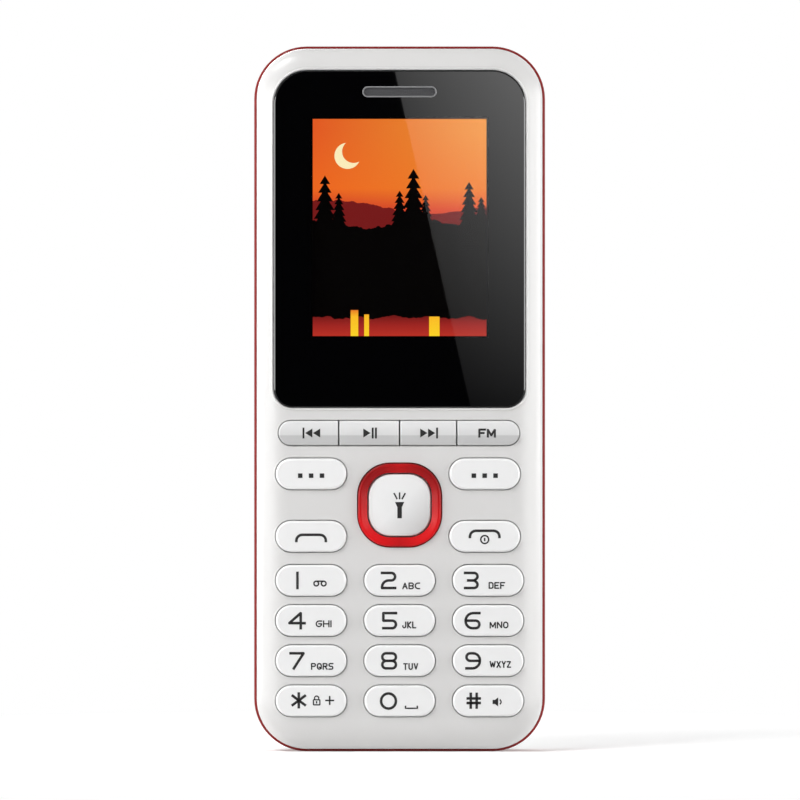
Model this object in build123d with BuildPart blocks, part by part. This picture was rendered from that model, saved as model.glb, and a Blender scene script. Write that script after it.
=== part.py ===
from build123d import *

import os
from math import asin, degrees, sqrt

# A bar-shaped feature phone, standing on its bottom end with its screen towards the viewer.
# Millimetres. X runs to the viewer's right, Y from the front to the back, Z up.
# The origin is the bottom centre of the whole phone, halfway through its depth.
# Names that end in _x, _y or _z are places; the screen side has the lowest Y.

os.makedirs("parts", exist_ok=True)

# Outline
corner_radius = 8.5
window_side_margin = 3.25
window_top_margin = 4.05
cut_overrun = 1.0

# Keys and navigation ring, with the gaps from one edge to the next
key_width = 11.4
key_height = 5.0
key_side_margin = 3.55
ring_size = 13.35
ring_corner = 5.2
ring_side_gap = 1.875
bottom_row_gap = 0.7
row_gap = 1.47
ring_row_gap = 2.95
side_row_spread = 10.05
side_key_shift = 0.55
strip_gap = 2.955
strip_height = 3.95
strip_side_margin = 4.1
strip_key_width_shares = [0.25, 0.2526, 0.2371, 0.2603]
strip_shift = -0.1
key_rise = 0.5
key_gap = 0.15
key_edge = 0.4
key_travel = 0.35
flange_width = 0.45
flange_thick = 0.6
flange_gap = 0.1
flange_side_gap = 0.15

# Display window, screen and earpiece
window_strip_gap = 2.14
window_top_radius = 5.4
window_bottom_radius = 3.0
screen_width = 28.03
screen_height = 35.04
screen_bottom_margin = 11.52
panel_top_margin = 2.2
panel_bottom_gap = 3.82
tray_wall = 0.5
ear_slot_drop = 3.45
receiver_height = 5.2
receiver_rise = 1.2
receiver_tray_gap = 0.19

# Depth stack, from the face back to the cover
window_thick = 0.9
tape_thick = 0.1
ledge_thick = 0.7
gasket_thick = 0.3
module_thick = 2.5
board_thick = 1.0
component_room = 0.7
bay_floor = 0.7
bay_rest_gap = 0.05
battery_thick = 5.6
cover_gap = 0.15
cover_wall = 1.0

# Shells
front_shell_depth = 3.6
front_wall = 1.3
front_side_wall = 1.4
frame_step = 0.45
front_roll_width = 5.0
front_roll_depth = 2.4
front_inner_roll_width = 3.6
front_inner_roll_depth = 1.9
frame_lip = 0.45
frame_wall = 1.8
frame_edge = 0.25
cover_seam = 0.1
cover_roll_width = 4.0
cover_roll_depth = 2.6
cover_inner_roll_width = 3.2
cover_inner_roll_depth = 2.0
rear_plate = 0.9
rear_plate_gap = 0.1
rear_wall = 1.25

# Battery
battery_width = 33.8
battery_height = 53.2
battery_bottom_z = 21.6
bay_gap = 0.4
bay_wall = 0.8

# Shield, loudspeaker, motor and camera between the battery and the top end
shield_height = 17.0
shield_bay_gap = 1.5
shield_motor_room = 1.0
motor_radius = 2.0
motor_top_margin = 15.4
speaker_radius = 7.5
speaker_bay_gap = 4.0
speaker_camera_room = 2.5
bezel_radius = 4.5
camera_top_margin = 10.9

# Sockets in the two ends
jack_width = 5.0
jack_thick = 4.5
jack_front_gap = 0.1
jack_nose_radius = 2.2
jack_nose_gap = 0.1
jack_boss_gap = 0.4
usb_width = 7.5
usb_gap = 0.35
mic_width = 3.0
mic_usb_gap = 1.9
mic_boss_gap = 1.4

# Screws that hold the two housings together
screw_side_margin = 6.0
screw_bottom_z = 3.4
screw_radius = 0.8
screw_fit = 0.03
front_boss_radius = 1.7
rear_boss_radius = 2.1
tray_boss_gap = 0.49

# Places that follow from the sizes above, across the phone
column_pitch = ring_size / 2 + ring_side_gap + key_width / 2
body_width = 2 * column_pitch + key_width + 2 * key_side_margin
window_width = body_width - 2 * window_side_margin
strip_width = body_width - 2 * strip_side_margin
screw_top_x = body_width / 2 - screw_side_margin
jack_x = screw_top_x - rear_boss_radius - jack_boss_gap - jack_width / 2
mic_x = -usb_width / 2 - usb_gap - mic_usb_gap - mic_width / 2
screw_bottom_x = mic_width / 2 - mic_x + mic_boss_gap + rear_boss_radius

# Names of the number keys, row by row from the bottom end
number_rows = [
    ("key_star", "key_0", "key_hash"),
    ("key_7", "key_8", "key_9"),
    ("key_4", "key_5", "key_6"),
    ("key_1", "key_2", "key_3"),
]

# Places that follow, along the phone; its longest stack of pieces sets its length
row_pitch = key_height + row_gap
bottom_row_z = screw_bottom_z + front_boss_radius + bottom_row_gap + key_height / 2
top_row_z = bottom_row_z + (len(number_rows) - 1) * row_pitch
nav_z = top_row_z + key_height / 2 + ring_row_gap + ring_size / 2
call_row_z = nav_z - side_row_spread / 2
soft_row_z = nav_z + side_row_spread / 2
strip_z = nav_z + ring_size / 2 + strip_gap + strip_height / 2
receiver_top_drop = ear_slot_drop + receiver_height / 2 - receiver_rise
screen_top_margin = receiver_top_drop + receiver_tray_gap + tray_wall + panel_top_margin
window_height = screen_top_margin + screen_height + screen_bottom_margin
battery_z = battery_bottom_z + battery_height / 2
bay_bottom_z = battery_bottom_z - bay_gap - bay_wall
bay_top_z = battery_bottom_z + battery_height + bay_gap + bay_wall
shield_z = bay_top_z + shield_bay_gap + shield_height / 2
speaker_z = bay_top_z + speaker_bay_gap + speaker_radius
front_length = (
    strip_z + strip_height / 2 + window_strip_gap + window_height + window_top_margin
)
speaker_length = (
    speaker_z + speaker_radius + speaker_camera_room + bezel_radius + camera_top_margin
)
shield_length = (
    shield_z + shield_height / 2 + shield_motor_room + motor_radius + motor_top_margin
)
body_length = max(front_length, speaker_length, shield_length)
window_top_z = body_length - window_top_margin
window_bottom_z = window_top_z - window_height
screen_z = window_top_z - screen_top_margin - screen_height / 2
panel_top_z = screen_z + screen_height / 2 + panel_top_margin
panel_bottom_z = window_bottom_z + panel_bottom_gap
camera_z = body_length - camera_top_margin
motor_z = body_length - motor_top_margin
screw_top_z = panel_top_z + tray_wall + tray_boss_gap + front_boss_radius
screw_places = [
    (side * x, z)
    for x, z in ((screw_top_x, screw_top_z), (screw_bottom_x, screw_bottom_z))
    for side in (-1, 1)
]

# Places that follow from them, through the depth
display_depth = window_thick + tape_thick + ledge_thick + gasket_thick + module_thick
bay_depth = component_room + bay_floor + bay_rest_gap + battery_thick
body_depth = key_rise + display_depth + board_thick + bay_depth + cover_gap + cover_wall
face_y = key_rise - body_depth / 2
back_y = body_depth / 2
key_top_y = face_y - key_rise
ledge_front_y = face_y + window_thick + tape_thick
ledge_back_y = ledge_front_y + ledge_thick
panel_front_y = ledge_back_y + gasket_thick
board_front_y = panel_front_y + module_thick
board_back_y = board_front_y + board_thick
bay_floor_front_y = board_back_y + component_room
bay_floor_back_y = bay_floor_front_y + bay_floor
battery_front_y = bay_floor_back_y + bay_rest_gap
cover_inner_y = battery_front_y + battery_thick + cover_gap
rear_plate_back_y = cover_inner_y - rear_plate_gap
rear_plate_front_y = rear_plate_back_y - rear_plate
jack_y = board_front_y + jack_front_gap + jack_thick / 2
frame_front_y = face_y + front_shell_depth
frame_back_y = jack_y + jack_nose_radius + jack_nose_gap + frame_lip
frame_depth = frame_back_y - frame_front_y
cover_front_y = frame_back_y + cover_seam
flange_front_y = face_y + front_wall + flange_gap
flange_back_y = flange_front_y + flange_thick


def front_plane(y):
    """A sketch plane across the phone at depth y, whose axes are the phone's X and Z."""
    return Plane.XZ.offset(-y)


def body_outline(inset=0.0, mode=Mode.ADD):
    """The phone's rounded outline, drawn in by inset."""
    with Locations((0, body_length / 2)):
        RectangleRounded(
            body_width - 2 * inset, body_length - 2 * inset, corner_radius - inset, mode=mode
        )


def window_outline(grow=0.0, mode=Mode.ADD):
    """The window's outline, whose top corners are rounder than its bottom ones."""
    left, right = -window_width / 2 - grow, window_width / 2 + grow
    low, high = window_bottom_z - grow, window_top_z + grow
    with BuildSketch(mode=Mode.PRIVATE) as outline:
        with BuildLine():
            Polyline((left, low), (right, low), (right, high), (left, high), close=True)
        make_face()
        fillet(outline.vertices().group_by(Axis.Y)[-1], window_top_radius + grow)
        fillet(outline.vertices().group_by(Axis.Y)[0], window_bottom_radius + grow)
    add(outline.sketch, mode=mode)


def rounded_square(size, corner, x, z, mode=Mode.ADD):
    """A square with round corners, centred on x, z."""
    with Locations((x, z)):
        RectangleRounded(size, size, corner, mode=mode)


def roll_edge(inset, flat_y, facing, roll_width, roll_depth):
    """Rolls the edge between a part's outline and its flat end at flat_y with a quarter ellipse.

    facing is -1 for an end that faces the viewer and 1 for one that faces the back.
    """
    half = body_width / 2 - inset
    low, high = inset, body_length - inset
    with BuildLine(front_plane(flat_y), mode=Mode.PRIVATE) as path:
        Polyline((0, low), (half, low), (half, high), (-half, high), (-half, low), (0, low))
        fillet([v for v in path.vertices() if v.X], corner_radius - inset)
    rim = path.wire()
    section = Plane(origin=rim @ 0, x_dir=(0, 0, -1), z_dir=(1, 0, 0))
    inward = -facing * section.y_dir.Y
    with BuildSketch(section, mode=Mode.PRIVATE) as corner:
        with BuildLine():
            EllipticalCenterArc(
                (-roll_width, inward * roll_depth),
                roll_width,
                roll_depth,
                start_angle=0 if inward < 0 else 270,
                arc_size=90,
            )
            Polyline(
                (0, inward * roll_depth),
                (cut_overrun, inward * roll_depth),
                (cut_overrun, -inward * cut_overrun),
                (-roll_width, -inward * cut_overrun),
                (-roll_width, 0),
            )
        make_face()
    sweep(corner.sketch, path=rim, mode=Mode.SUBTRACT)


def rolled_block(inset, open_y, closed_y, roll_width, roll_depth):
    """A solid of the phone's outline, with its edge rolled at closed_y and square at open_y."""
    with BuildPart() as block:
        with BuildSketch(front_plane(max(open_y, closed_y))):
            body_outline(inset)
        extrude(amount=abs(closed_y - open_y))
        facing = 1 if closed_y > open_y else -1
        roll_edge(inset, closed_y, facing, roll_width, roll_depth)
    return block.part


def save(builder, name):
    """Labels a finished piece and writes it as its own file."""
    builder.part.label = name
    export_step(builder.part, f"parts/{name}.step")


# Middles of the pill-shaped keys
pill_keys = {
    name: ((column - 1) * column_pitch, bottom_row_z + row * row_pitch)
    for row, names in enumerate(number_rows)
    for column, name in enumerate(names)
}
pill_keys["key_call"] = (-column_pitch, call_row_z)
pill_keys["key_end"] = (column_pitch - side_key_shift, call_row_z)
pill_keys["key_soft_left"] = (-column_pitch, soft_row_z)
pill_keys["key_soft_right"] = (column_pitch - side_key_shift, soft_row_z)

# Left and right limits of the four keys that share the music strip
strip_left_x = strip_shift - strip_width / 2
strip_names = ["key_previous", "key_play_pause", "key_next", "key_radio"]
strip_keys = {}
for place, name in enumerate(strip_names):
    left_x = strip_left_x + sum(strip_key_width_shares[:place]) * strip_width
    strip_keys[name] = (left_x, left_x + strip_key_width_shares[place] * strip_width)

# Front housing, with the window's ledge, the key holes and the screw bosses
window_gap = 0.1
ledge_grow = 1.0
display_opening_margin = 1.2
display_opening_corner = 0.6
display_opening_width = screen_width + 2 * display_opening_margin
display_opening_height = screen_height + 2 * display_opening_margin
ear_slot_width = 12.0
ear_slot_height = 1.75
ear_hole_margin = 0.25
ear_slot_z = window_top_z - ear_slot_drop
boss_root = 0.2
pilot_depth = 2.5
ring_gap = 0.2
with BuildPart() as front_housing:
    add(rolled_block(frame_step, frame_front_y, face_y, front_roll_width, front_roll_depth))
    add(
        rolled_block(
            frame_step + front_side_wall,
            frame_front_y,
            face_y + front_wall,
            front_inner_roll_width,
            front_inner_roll_depth,
        ),
        mode=Mode.SUBTRACT,
    )
    with BuildSketch(front_plane(ledge_back_y)):
        window_outline(ledge_grow)
    extrude(amount=ledge_thick)
    with BuildSketch(front_plane(ledge_front_y)):
        window_outline(window_gap)
    extrude(amount=ledge_front_y - face_y + cut_overrun, mode=Mode.SUBTRACT)
    with BuildSketch(front_plane(ledge_back_y)):
        with Locations((0, screen_z)):
            RectangleRounded(display_opening_width, display_opening_height, display_opening_corner)
        with Locations((0, ear_slot_z)):
            SlotOverall(
                ear_slot_width - 2 * ear_hole_margin, ear_slot_height - 2 * ear_hole_margin
            )
    extrude(amount=ledge_back_y - face_y, mode=Mode.SUBTRACT)
    with BuildSketch(front_plane(frame_front_y)):
        flange_room = flange_width + flange_side_gap
        with Locations(*pill_keys.values()):
            SlotOverall(key_width + 2 * flange_room, key_height + 2 * flange_room)
        with Locations((strip_shift, strip_z)):
            SlotOverall(strip_width + 2 * flange_room, strip_height + 2 * flange_room)
    extrude(amount=frame_front_y - face_y - front_wall, mode=Mode.SUBTRACT)
    with BuildSketch(front_plane(flange_back_y)):
        with Locations(*pill_keys.values()):
            SlotOverall(key_width + 2 * key_gap, key_height + 2 * key_gap)
        with Locations((strip_shift, strip_z)):
            SlotOverall(strip_width + 2 * key_gap, strip_height + 2 * key_gap)
        rounded_square(ring_size + 2 * ring_gap, ring_corner + ring_gap, 0, nav_z)
    extrude(amount=flange_back_y - face_y + cut_overrun, mode=Mode.SUBTRACT)
    with BuildSketch(front_plane(board_front_y)):
        with Locations(*screw_places):
            Circle(front_boss_radius)
    extrude(amount=board_front_y - face_y - front_wall + boss_root)
    with BuildSketch(front_plane(board_front_y)):
        with Locations(*screw_places):
            Circle(screw_radius + screw_fit)
    extrude(amount=pilot_depth, mode=Mode.SUBTRACT)
save(front_housing, "front_housing")

# Window, and the tape that holds it on the ledge
window_edge = 0.2
tape_width = 2.2
with BuildPart() as display_window:
    with BuildSketch(front_plane(face_y + window_thick)):
        window_outline()
    extrude(amount=window_thick)
    chamfer(display_window.faces().sort_by(Axis.Y)[0].edges(), window_edge)
    with BuildSketch(front_plane(face_y + window_thick)):
        with Locations((0, ear_slot_z)):
            SlotOverall(ear_slot_width, ear_slot_height)
    extrude(amount=window_thick, mode=Mode.SUBTRACT)
save(display_window, "display_window")

with BuildPart() as window_tape:
    with BuildSketch(front_plane(ledge_front_y)):
        window_outline(-window_gap)
        window_outline(-window_gap - tape_width, mode=Mode.SUBTRACT)
    extrude(amount=tape_thick)
save(window_tape, "window_tape")

# Earpiece: the mesh in the window's slot, and the receiver behind the ledge
mesh_gap = 0.12
mesh_thick = 0.25
receiver_width = 12.0
receiver_thick = 2.2
receiver_corner = 0.8
receiver_rim = 0.7
receiver_recess = 0.2
with BuildPart() as earpiece_mesh:
    with BuildSketch(front_plane(ledge_front_y)):
        with Locations((0, ear_slot_z)):
            SlotOverall(ear_slot_width - 2 * mesh_gap, ear_slot_height - 2 * mesh_gap)
    extrude(amount=mesh_thick)
save(earpiece_mesh, "earpiece_mesh")

with BuildPart() as earpiece_speaker:
    with BuildSketch(front_plane(ledge_back_y + receiver_thick)):
        with Locations((0, ear_slot_z + receiver_rise)):
            RectangleRounded(receiver_width, receiver_height, receiver_corner)
    extrude(amount=receiver_thick)
    with BuildSketch(front_plane(ledge_back_y + receiver_recess)):
        with Locations((0, ear_slot_z + receiver_rise)):
            RectangleRounded(
                receiver_width - 2 * receiver_rim,
                receiver_height - 2 * receiver_rim,
                receiver_corner - receiver_recess,
            )
    extrude(amount=receiver_recess, mode=Mode.SUBTRACT)
save(earpiece_speaker, "earpiece_speaker")

# Display: foam gasket, glass panel, backlight tray and the ribbon down to the board
gasket_width = 1.2
gasket_inset = 0.4
panel_thick = 1.5
panel_side_margin = 2.8
tray_rise = 1.0
ribbon_width = 14.0
ribbon_thick = 0.15
ribbon_drop = 0.6
ribbon_reach = 3.2
panel_width = screen_width + 2 * panel_side_margin
panel_height = panel_top_z - panel_bottom_z
panel_z = (panel_top_z + panel_bottom_z) / 2
panel_back_y = panel_front_y + panel_thick
with BuildPart() as display_gasket:
    with BuildSketch(front_plane(panel_front_y)):
        with Locations((0, screen_z)):
            Rectangle(
                display_opening_width + 2 * gasket_width,
                display_opening_height + 2 * gasket_width,
            )
            Rectangle(
                display_opening_width + 2 * gasket_inset,
                display_opening_height + 2 * gasket_inset,
                mode=Mode.SUBTRACT,
            )
    extrude(amount=gasket_thick)
save(display_gasket, "display_gasket")

with BuildPart() as display_panel:
    with BuildSketch(front_plane(panel_back_y)):
        with Locations((0, panel_z)):
            Rectangle(panel_width, panel_height)
    extrude(amount=panel_thick)
save(display_panel, "display_panel")

with BuildPart() as backlight_tray:
    with BuildSketch(front_plane(board_front_y)):
        with Locations((0, panel_z)):
            Rectangle(panel_width + 2 * tray_wall, panel_height + 2 * tray_wall)
    extrude(amount=board_front_y - panel_back_y + tray_rise)
    with BuildSketch(front_plane(panel_back_y)):
        with Locations((0, panel_z)):
            Rectangle(panel_width, panel_height)
        with Locations((0, panel_bottom_z)):
            Rectangle(ribbon_width + 2 * tray_wall, 2 * tray_wall)
    extrude(amount=tray_rise, mode=Mode.SUBTRACT)
save(backlight_tray, "backlight_tray")

with BuildPart() as display_ribbon:
    fold_z = panel_bottom_z - tray_wall - ribbon_drop
    with BuildSketch(Plane.YZ.offset(-ribbon_width / 2)):
        with BuildLine():
            Polyline(
                (panel_back_y - ribbon_thick, panel_bottom_z),
                (panel_back_y, panel_bottom_z),
                (panel_back_y, fold_z + ribbon_thick),
                (board_front_y, fold_z + ribbon_thick),
                (board_front_y, fold_z - ribbon_reach),
                (board_front_y - ribbon_thick, fold_z - ribbon_reach),
                (board_front_y - ribbon_thick, fold_z),
                (panel_back_y - ribbon_thick, fold_z),
                close=True,
            )
        make_face()
    extrude(amount=ribbon_width)
save(display_ribbon, "display_ribbon")

# Pill-shaped keys, each with a flange that holds it behind the housing
for name, (x, z) in pill_keys.items():
    with BuildPart() as pill_key:
        with BuildSketch(front_plane(flange_back_y)):
            with Locations((x, z)):
                SlotOverall(key_width, key_height)
        extrude(amount=flange_back_y - key_top_y)
        fillet(pill_key.faces().sort_by(Axis.Y)[0].edges(), key_edge)
        with BuildSketch(front_plane(flange_back_y)):
            with Locations((x, z)):
                SlotOverall(key_width + 2 * flange_width, key_height + 2 * flange_width)
        extrude(amount=flange_thick)
    save(pill_key, name)

# Music keys: one crowned strip, split into four
strip_split = 0.22
strip_edge = 0.2
strip_crown_radius = 6.6
for name, (left_x, right_x) in strip_keys.items():
    with BuildPart() as strip_key:
        end_x = strip_left_x + strip_width
        cut_left_x = left_x + strip_split / 2 if left_x > strip_left_x else left_x - flange_width
        cut_right_x = right_x - strip_split / 2 if name != strip_names[-1] else end_x + flange_width
        for grow, front_y in ((0, key_top_y), (flange_width, flange_front_y)):
            with BuildSketch(front_plane(flange_back_y)):
                with Locations((strip_shift, strip_z)):
                    SlotOverall(strip_width + 2 * grow, strip_height + 2 * grow)
                with Locations(((cut_left_x + cut_right_x) / 2, strip_z)):
                    Rectangle(
                        cut_right_x - cut_left_x,
                        strip_height + 2 * flange_width,
                        mode=Mode.INTERSECT,
                    )
            extrude(amount=flange_back_y - front_y)
        with BuildSketch(Plane.YZ.offset(cut_left_x)):
            with Locations((key_top_y + strip_crown_radius, strip_z)):
                Circle(strip_crown_radius)
        extrude(amount=cut_right_x - cut_left_x, mode=Mode.INTERSECT)
        fillet(strip_key.faces().sort_by(Axis.Y)[0].edges(), strip_edge)
    save(strip_key, name)

# Navigation ring, whose top slopes down to the centre key
ring_band = 1.475
ring_flange_gap = 0.45
ring_outer_edge = 0.3
ring_slope_width = 0.95
ring_slope_depth = 0.32
center_gap = 0.2
center_flange_gap = 0.55
center_flange_thick = 0.5
center_pocket_gap = 0.25
center_pocket_rise = 0.45
ring_hole = ring_size - 2 * ring_band
ring_hole_corner = ring_corner - ring_band
ring_flange_front_y = face_y + front_wall + ring_flange_gap
ring_back_y = ring_flange_front_y + flange_thick
center_size = ring_hole - 2 * center_gap
center_corner = ring_hole_corner - center_gap
center_flange_front_y = face_y + front_wall + center_flange_gap
center_back_y = center_flange_front_y + center_flange_thick
pocket_grow = flange_width + center_pocket_gap
pocket_roof_y = center_flange_front_y - center_pocket_rise
with BuildPart() as nav_ring:
    with BuildSketch(front_plane(ring_back_y)):
        rounded_square(ring_size, ring_corner, 0, nav_z)
    extrude(amount=ring_back_y - key_top_y)
    fillet(nav_ring.faces().sort_by(Axis.Y)[0].edges(), ring_outer_edge)
    with BuildSketch(front_plane(ring_back_y)):
        rounded_square(ring_size + 2 * flange_width, ring_corner + flange_width, 0, nav_z)
    extrude(amount=flange_thick)
    with BuildSketch(front_plane(key_top_y + ring_slope_depth)):
        rounded_square(ring_hole, ring_hole_corner, 0, nav_z)
    with BuildSketch(front_plane(key_top_y)):
        rounded_square(
            ring_hole + 2 * ring_slope_width, ring_hole_corner + ring_slope_width, 0, nav_z
        )
    loft(ruled=True, mode=Mode.SUBTRACT)
    with BuildSketch(front_plane(ring_back_y)):
        rounded_square(ring_hole, ring_hole_corner, 0, nav_z)
    extrude(amount=ring_back_y - key_top_y, mode=Mode.SUBTRACT)
    with BuildSketch(front_plane(ring_back_y)):
        rounded_square(
            center_size + 2 * pocket_grow, center_corner + pocket_grow, 0, nav_z
        )
    extrude(amount=ring_back_y - pocket_roof_y, mode=Mode.SUBTRACT)
save(nav_ring, "nav_ring")

# Centre key, with a gently domed top
center_crown_radius = 30.0
center_edge = 0.3
with BuildPart() as key_center:
    with BuildSketch(front_plane(center_back_y)):
        rounded_square(center_size, center_corner, 0, nav_z)
    extrude(amount=center_back_y - key_top_y)
    with BuildSketch(front_plane(center_back_y)):
        rounded_square(center_size + 2 * flange_width, center_corner + flange_width, 0, nav_z)
    extrude(amount=center_flange_thick)
    with Locations((0, key_top_y + center_crown_radius, nav_z)):
        Sphere(center_crown_radius, mode=Mode.INTERSECT)
    fillet(key_center.faces().sort_by(Axis.Y)[0].edges(), center_edge)
save(key_center, "key_center")

# Thin steel plate that carries the ring
stiffener_gap = 0.3
stiffener_thick = 0.15
stiffener_inset = 0.1
stiffener_front_y = ring_back_y + stiffener_gap
stiffener_back_y = stiffener_front_y + stiffener_thick
stiffener_grow = flange_width - stiffener_inset
with BuildPart() as nav_stiffener:
    with BuildSketch(front_plane(stiffener_back_y)):
        rounded_square(ring_size + 2 * stiffener_grow, ring_corner + stiffener_grow, 0, nav_z)
        rounded_square(
            center_size + 2 * pocket_grow,
            center_corner + pocket_grow,
            0,
            nav_z,
            mode=Mode.SUBTRACT,
        )
    extrude(amount=stiffener_thick)
save(nav_stiffener, "nav_stiffener")

# Dome and nub places: one for each key, and one under each side of the ring
ring_outer_half = ring_size / 2 + stiffener_grow
ring_inner_half = center_size / 2 + pocket_grow
ring_dome_reach = (ring_outer_half + ring_inner_half) / 2
ring_dome_places = [
    (0, nav_z + ring_dome_reach),
    (0, nav_z - ring_dome_reach),
    (ring_dome_reach, nav_z),
    (-ring_dome_reach, nav_z),
]
strip_places = [((left_x + right_x) / 2, strip_z) for left_x, right_x in strip_keys.values()]
dome_places = [*pill_keys.values(), *strip_places, (0, nav_z), *ring_dome_places]

# Silicone key mat: a sheet with a pillar to each key and a nub to each dome
mat_standoff = 1.2
mat_thick = 0.35
mat_side_inset = 3.0
mat_corner = 3.0
mat_boss_gap = 0.3
mat_top_margin = 1.0
pillar_inset = 1.2
center_pillar = 4.0
center_pillar_corner = 1.0
ring_pillar_radius = 0.5
nub_radius = 1.0
nub_gap = 0.05
mat_back_y = board_front_y - mat_standoff
mat_front_y = mat_back_y - mat_thick
mat_bottom_z = screw_bottom_z + front_boss_radius + mat_boss_gap
mat_top_z = strip_z + strip_height / 2 + mat_top_margin
dome_height = key_travel - nub_gap
with BuildPart() as keymat:
    with BuildSketch(front_plane(mat_back_y)):
        with Locations((0, (mat_bottom_z + mat_top_z) / 2)):
            RectangleRounded(
                body_width - 2 * mat_side_inset, mat_top_z - mat_bottom_z, mat_corner
            )
    extrude(amount=mat_thick)
    with BuildSketch(front_plane(mat_front_y)):
        with Locations(*pill_keys.values()):
            SlotOverall(key_width - 2 * pillar_inset, key_height - 2 * pillar_inset)
        for left_x, right_x in strip_keys.values():
            with Locations(((left_x + right_x) / 2, strip_z)):
                Rectangle(right_x - left_x - 2 * pillar_inset, strip_height - 2 * pillar_inset)
    extrude(amount=mat_front_y - flange_back_y)
    with BuildSketch(front_plane(mat_front_y)):
        rounded_square(center_pillar, center_pillar_corner, 0, nav_z)
    extrude(amount=mat_front_y - center_back_y)
    with BuildSketch(front_plane(mat_front_y)):
        with Locations(*ring_dome_places):
            Circle(ring_pillar_radius)
    extrude(amount=mat_front_y - stiffener_back_y)
    with BuildSketch(front_plane(board_front_y - dome_height - nub_gap)):
        with Locations(*dome_places):
            Circle(nub_radius)
    extrude(amount=mat_standoff - dome_height - nub_gap)
save(keymat, "keymat")

# Metal domes on the board: one thin cap, repeated
dome_radius = 2.0
dome_thick = 0.1
cap_radius = (dome_radius**2 + dome_height**2) / (2 * dome_height)
cap_drop = cap_radius - dome_height
inner_radius = cap_radius - dome_thick
inner_foot = sqrt(inner_radius**2 - cap_drop**2)
outer_angle = degrees(asin(cap_drop / cap_radius))
inner_angle = degrees(asin(cap_drop / inner_radius))
with BuildPart() as one_dome:
    with BuildSketch(Plane.XZ):
        with BuildLine():
            CenterArc((0, -cap_drop), cap_radius, outer_angle, 90 - outer_angle)
            Line((0, dome_height), (0, dome_height - dome_thick))
            CenterArc((0, -cap_drop), inner_radius, inner_angle, 90 - inner_angle)
            Line((inner_foot, 0), (dome_radius, 0))
        make_face()
    revolve(axis=Axis.Z)
with BuildPart() as key_domes:
    for x, z in dome_places:
        add(one_dome.part.moved(Location((x, board_front_y, z), (90, 0, 0))))
save(key_domes, "key_domes")

# Lamps that light the number keys
lamp_width = 1.6
lamp_height = 0.8
lamp_thick = 0.6
lamp_columns = 2
lamp_rows = 3
with BuildPart() as keypad_leds:
    with BuildSketch(front_plane(board_front_y)):
        with Locations((0, (bottom_row_z + top_row_z) / 2)):
            with GridLocations(column_pitch, row_pitch, lamp_columns, lamp_rows):
                Rectangle(lamp_width, lamp_height)
    extrude(amount=lamp_thick)
save(keypad_leds, "keypad_leds")

# Headphone socket
jack_bore_radius = 1.8
jack_bore_length = 14.0
jack_end_wall = 0.5
jack_sink = 0.1
jack_body_gap = 0.3
jack_top_z = body_length - jack_sink
jack_bottom_z = jack_top_z - jack_bore_length - jack_end_wall
with BuildPart() as audio_jack:
    with BuildSketch(Plane.XY.offset(jack_bottom_z)):
        with Locations((jack_x, jack_y)):
            Rectangle(jack_width, jack_thick)
    extrude(amount=body_length - frame_wall - jack_bottom_z)
    with BuildSketch(Plane.XY.offset(jack_bottom_z)):
        with Locations((jack_x, jack_y)):
            Circle(jack_nose_radius)
    extrude(amount=jack_top_z - jack_bottom_z)
    with BuildSketch(Plane.XY.offset(jack_top_z)):
        with Locations((jack_x, jack_y)):
            Circle(jack_bore_radius)
    extrude(amount=-jack_bore_length, mode=Mode.SUBTRACT)
save(audio_jack, "audio_jack")

# Charging socket: a folded shell with a tongue
usb_thick = 2.6
usb_length = 5.6
usb_recess = 0.5
usb_corner = 0.5
usb_shell = 0.3
usb_back_wall = 0.6
tongue_width = 5.2
tongue_thick = 0.6
tongue_recess = 0.8
usb_y = board_back_y + usb_thick / 2
with BuildPart() as usb_socket:
    with BuildSketch(Plane.XY.offset(usb_recess)):
        with Locations((0, usb_y)):
            RectangleRounded(usb_width, usb_thick, usb_corner)
    extrude(amount=usb_length)
    with BuildSketch(Plane.XY.offset(usb_recess)):
        with Locations((0, usb_y)):
            RectangleRounded(
                usb_width - 2 * usb_shell, usb_thick - 2 * usb_shell, usb_corner - usb_shell
            )
    extrude(amount=usb_length - usb_back_wall, mode=Mode.SUBTRACT)
    with BuildSketch(Plane.XY.offset(usb_recess + tongue_recess)):
        with Locations((0, usb_y)):
            Rectangle(tongue_width, tongue_thick)
    extrude(amount=usb_length - tongue_recess)
save(usb_socket, "usb_socket")

# Microphone beside it
mic_thick = 1.0
mic_height = 4.0
mic_gap = 0.25
mic_hole_radius = 0.5
mic_y = board_back_y + mic_thick / 2
with BuildPart() as microphone:
    with BuildSketch(front_plane(board_back_y + mic_thick)):
        with Locations((mic_x, frame_wall + mic_gap + mic_height / 2)):
            Rectangle(mic_width, mic_height)
    extrude(amount=mic_thick)
save(microphone, "microphone")

# Torch: the lamp on the board and its lens through the top end
lens_width = 4.6
lens_height = 2.2
lens_gap = 0.05
lens_tail = 0.1
lens_edge = 0.2
torch_width = 2.0
torch_thick = 1.4
torch_height = 1.6
torch_gap = 0.1
torch_y = board_back_y + torch_thick / 2
torch_top_z = body_length - frame_wall - lens_tail - torch_gap
with BuildPart() as torch_led:
    with BuildSketch(Plane.XY.offset(torch_top_z)):
        with Locations((0, torch_y)):
            Rectangle(torch_width, torch_thick)
    extrude(amount=-torch_height)
save(torch_led, "torch_led")

with BuildPart() as torch_lens:
    with BuildSketch(Plane.XY.offset(body_length)):
        with Locations((0, torch_y)):
            SlotOverall(lens_width, lens_height)
    extrude(amount=-frame_wall - lens_tail)
    fillet(torch_lens.faces().sort_by(Axis.Z)[-1].edges(), lens_edge)
save(torch_lens, "torch_lens")

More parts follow.
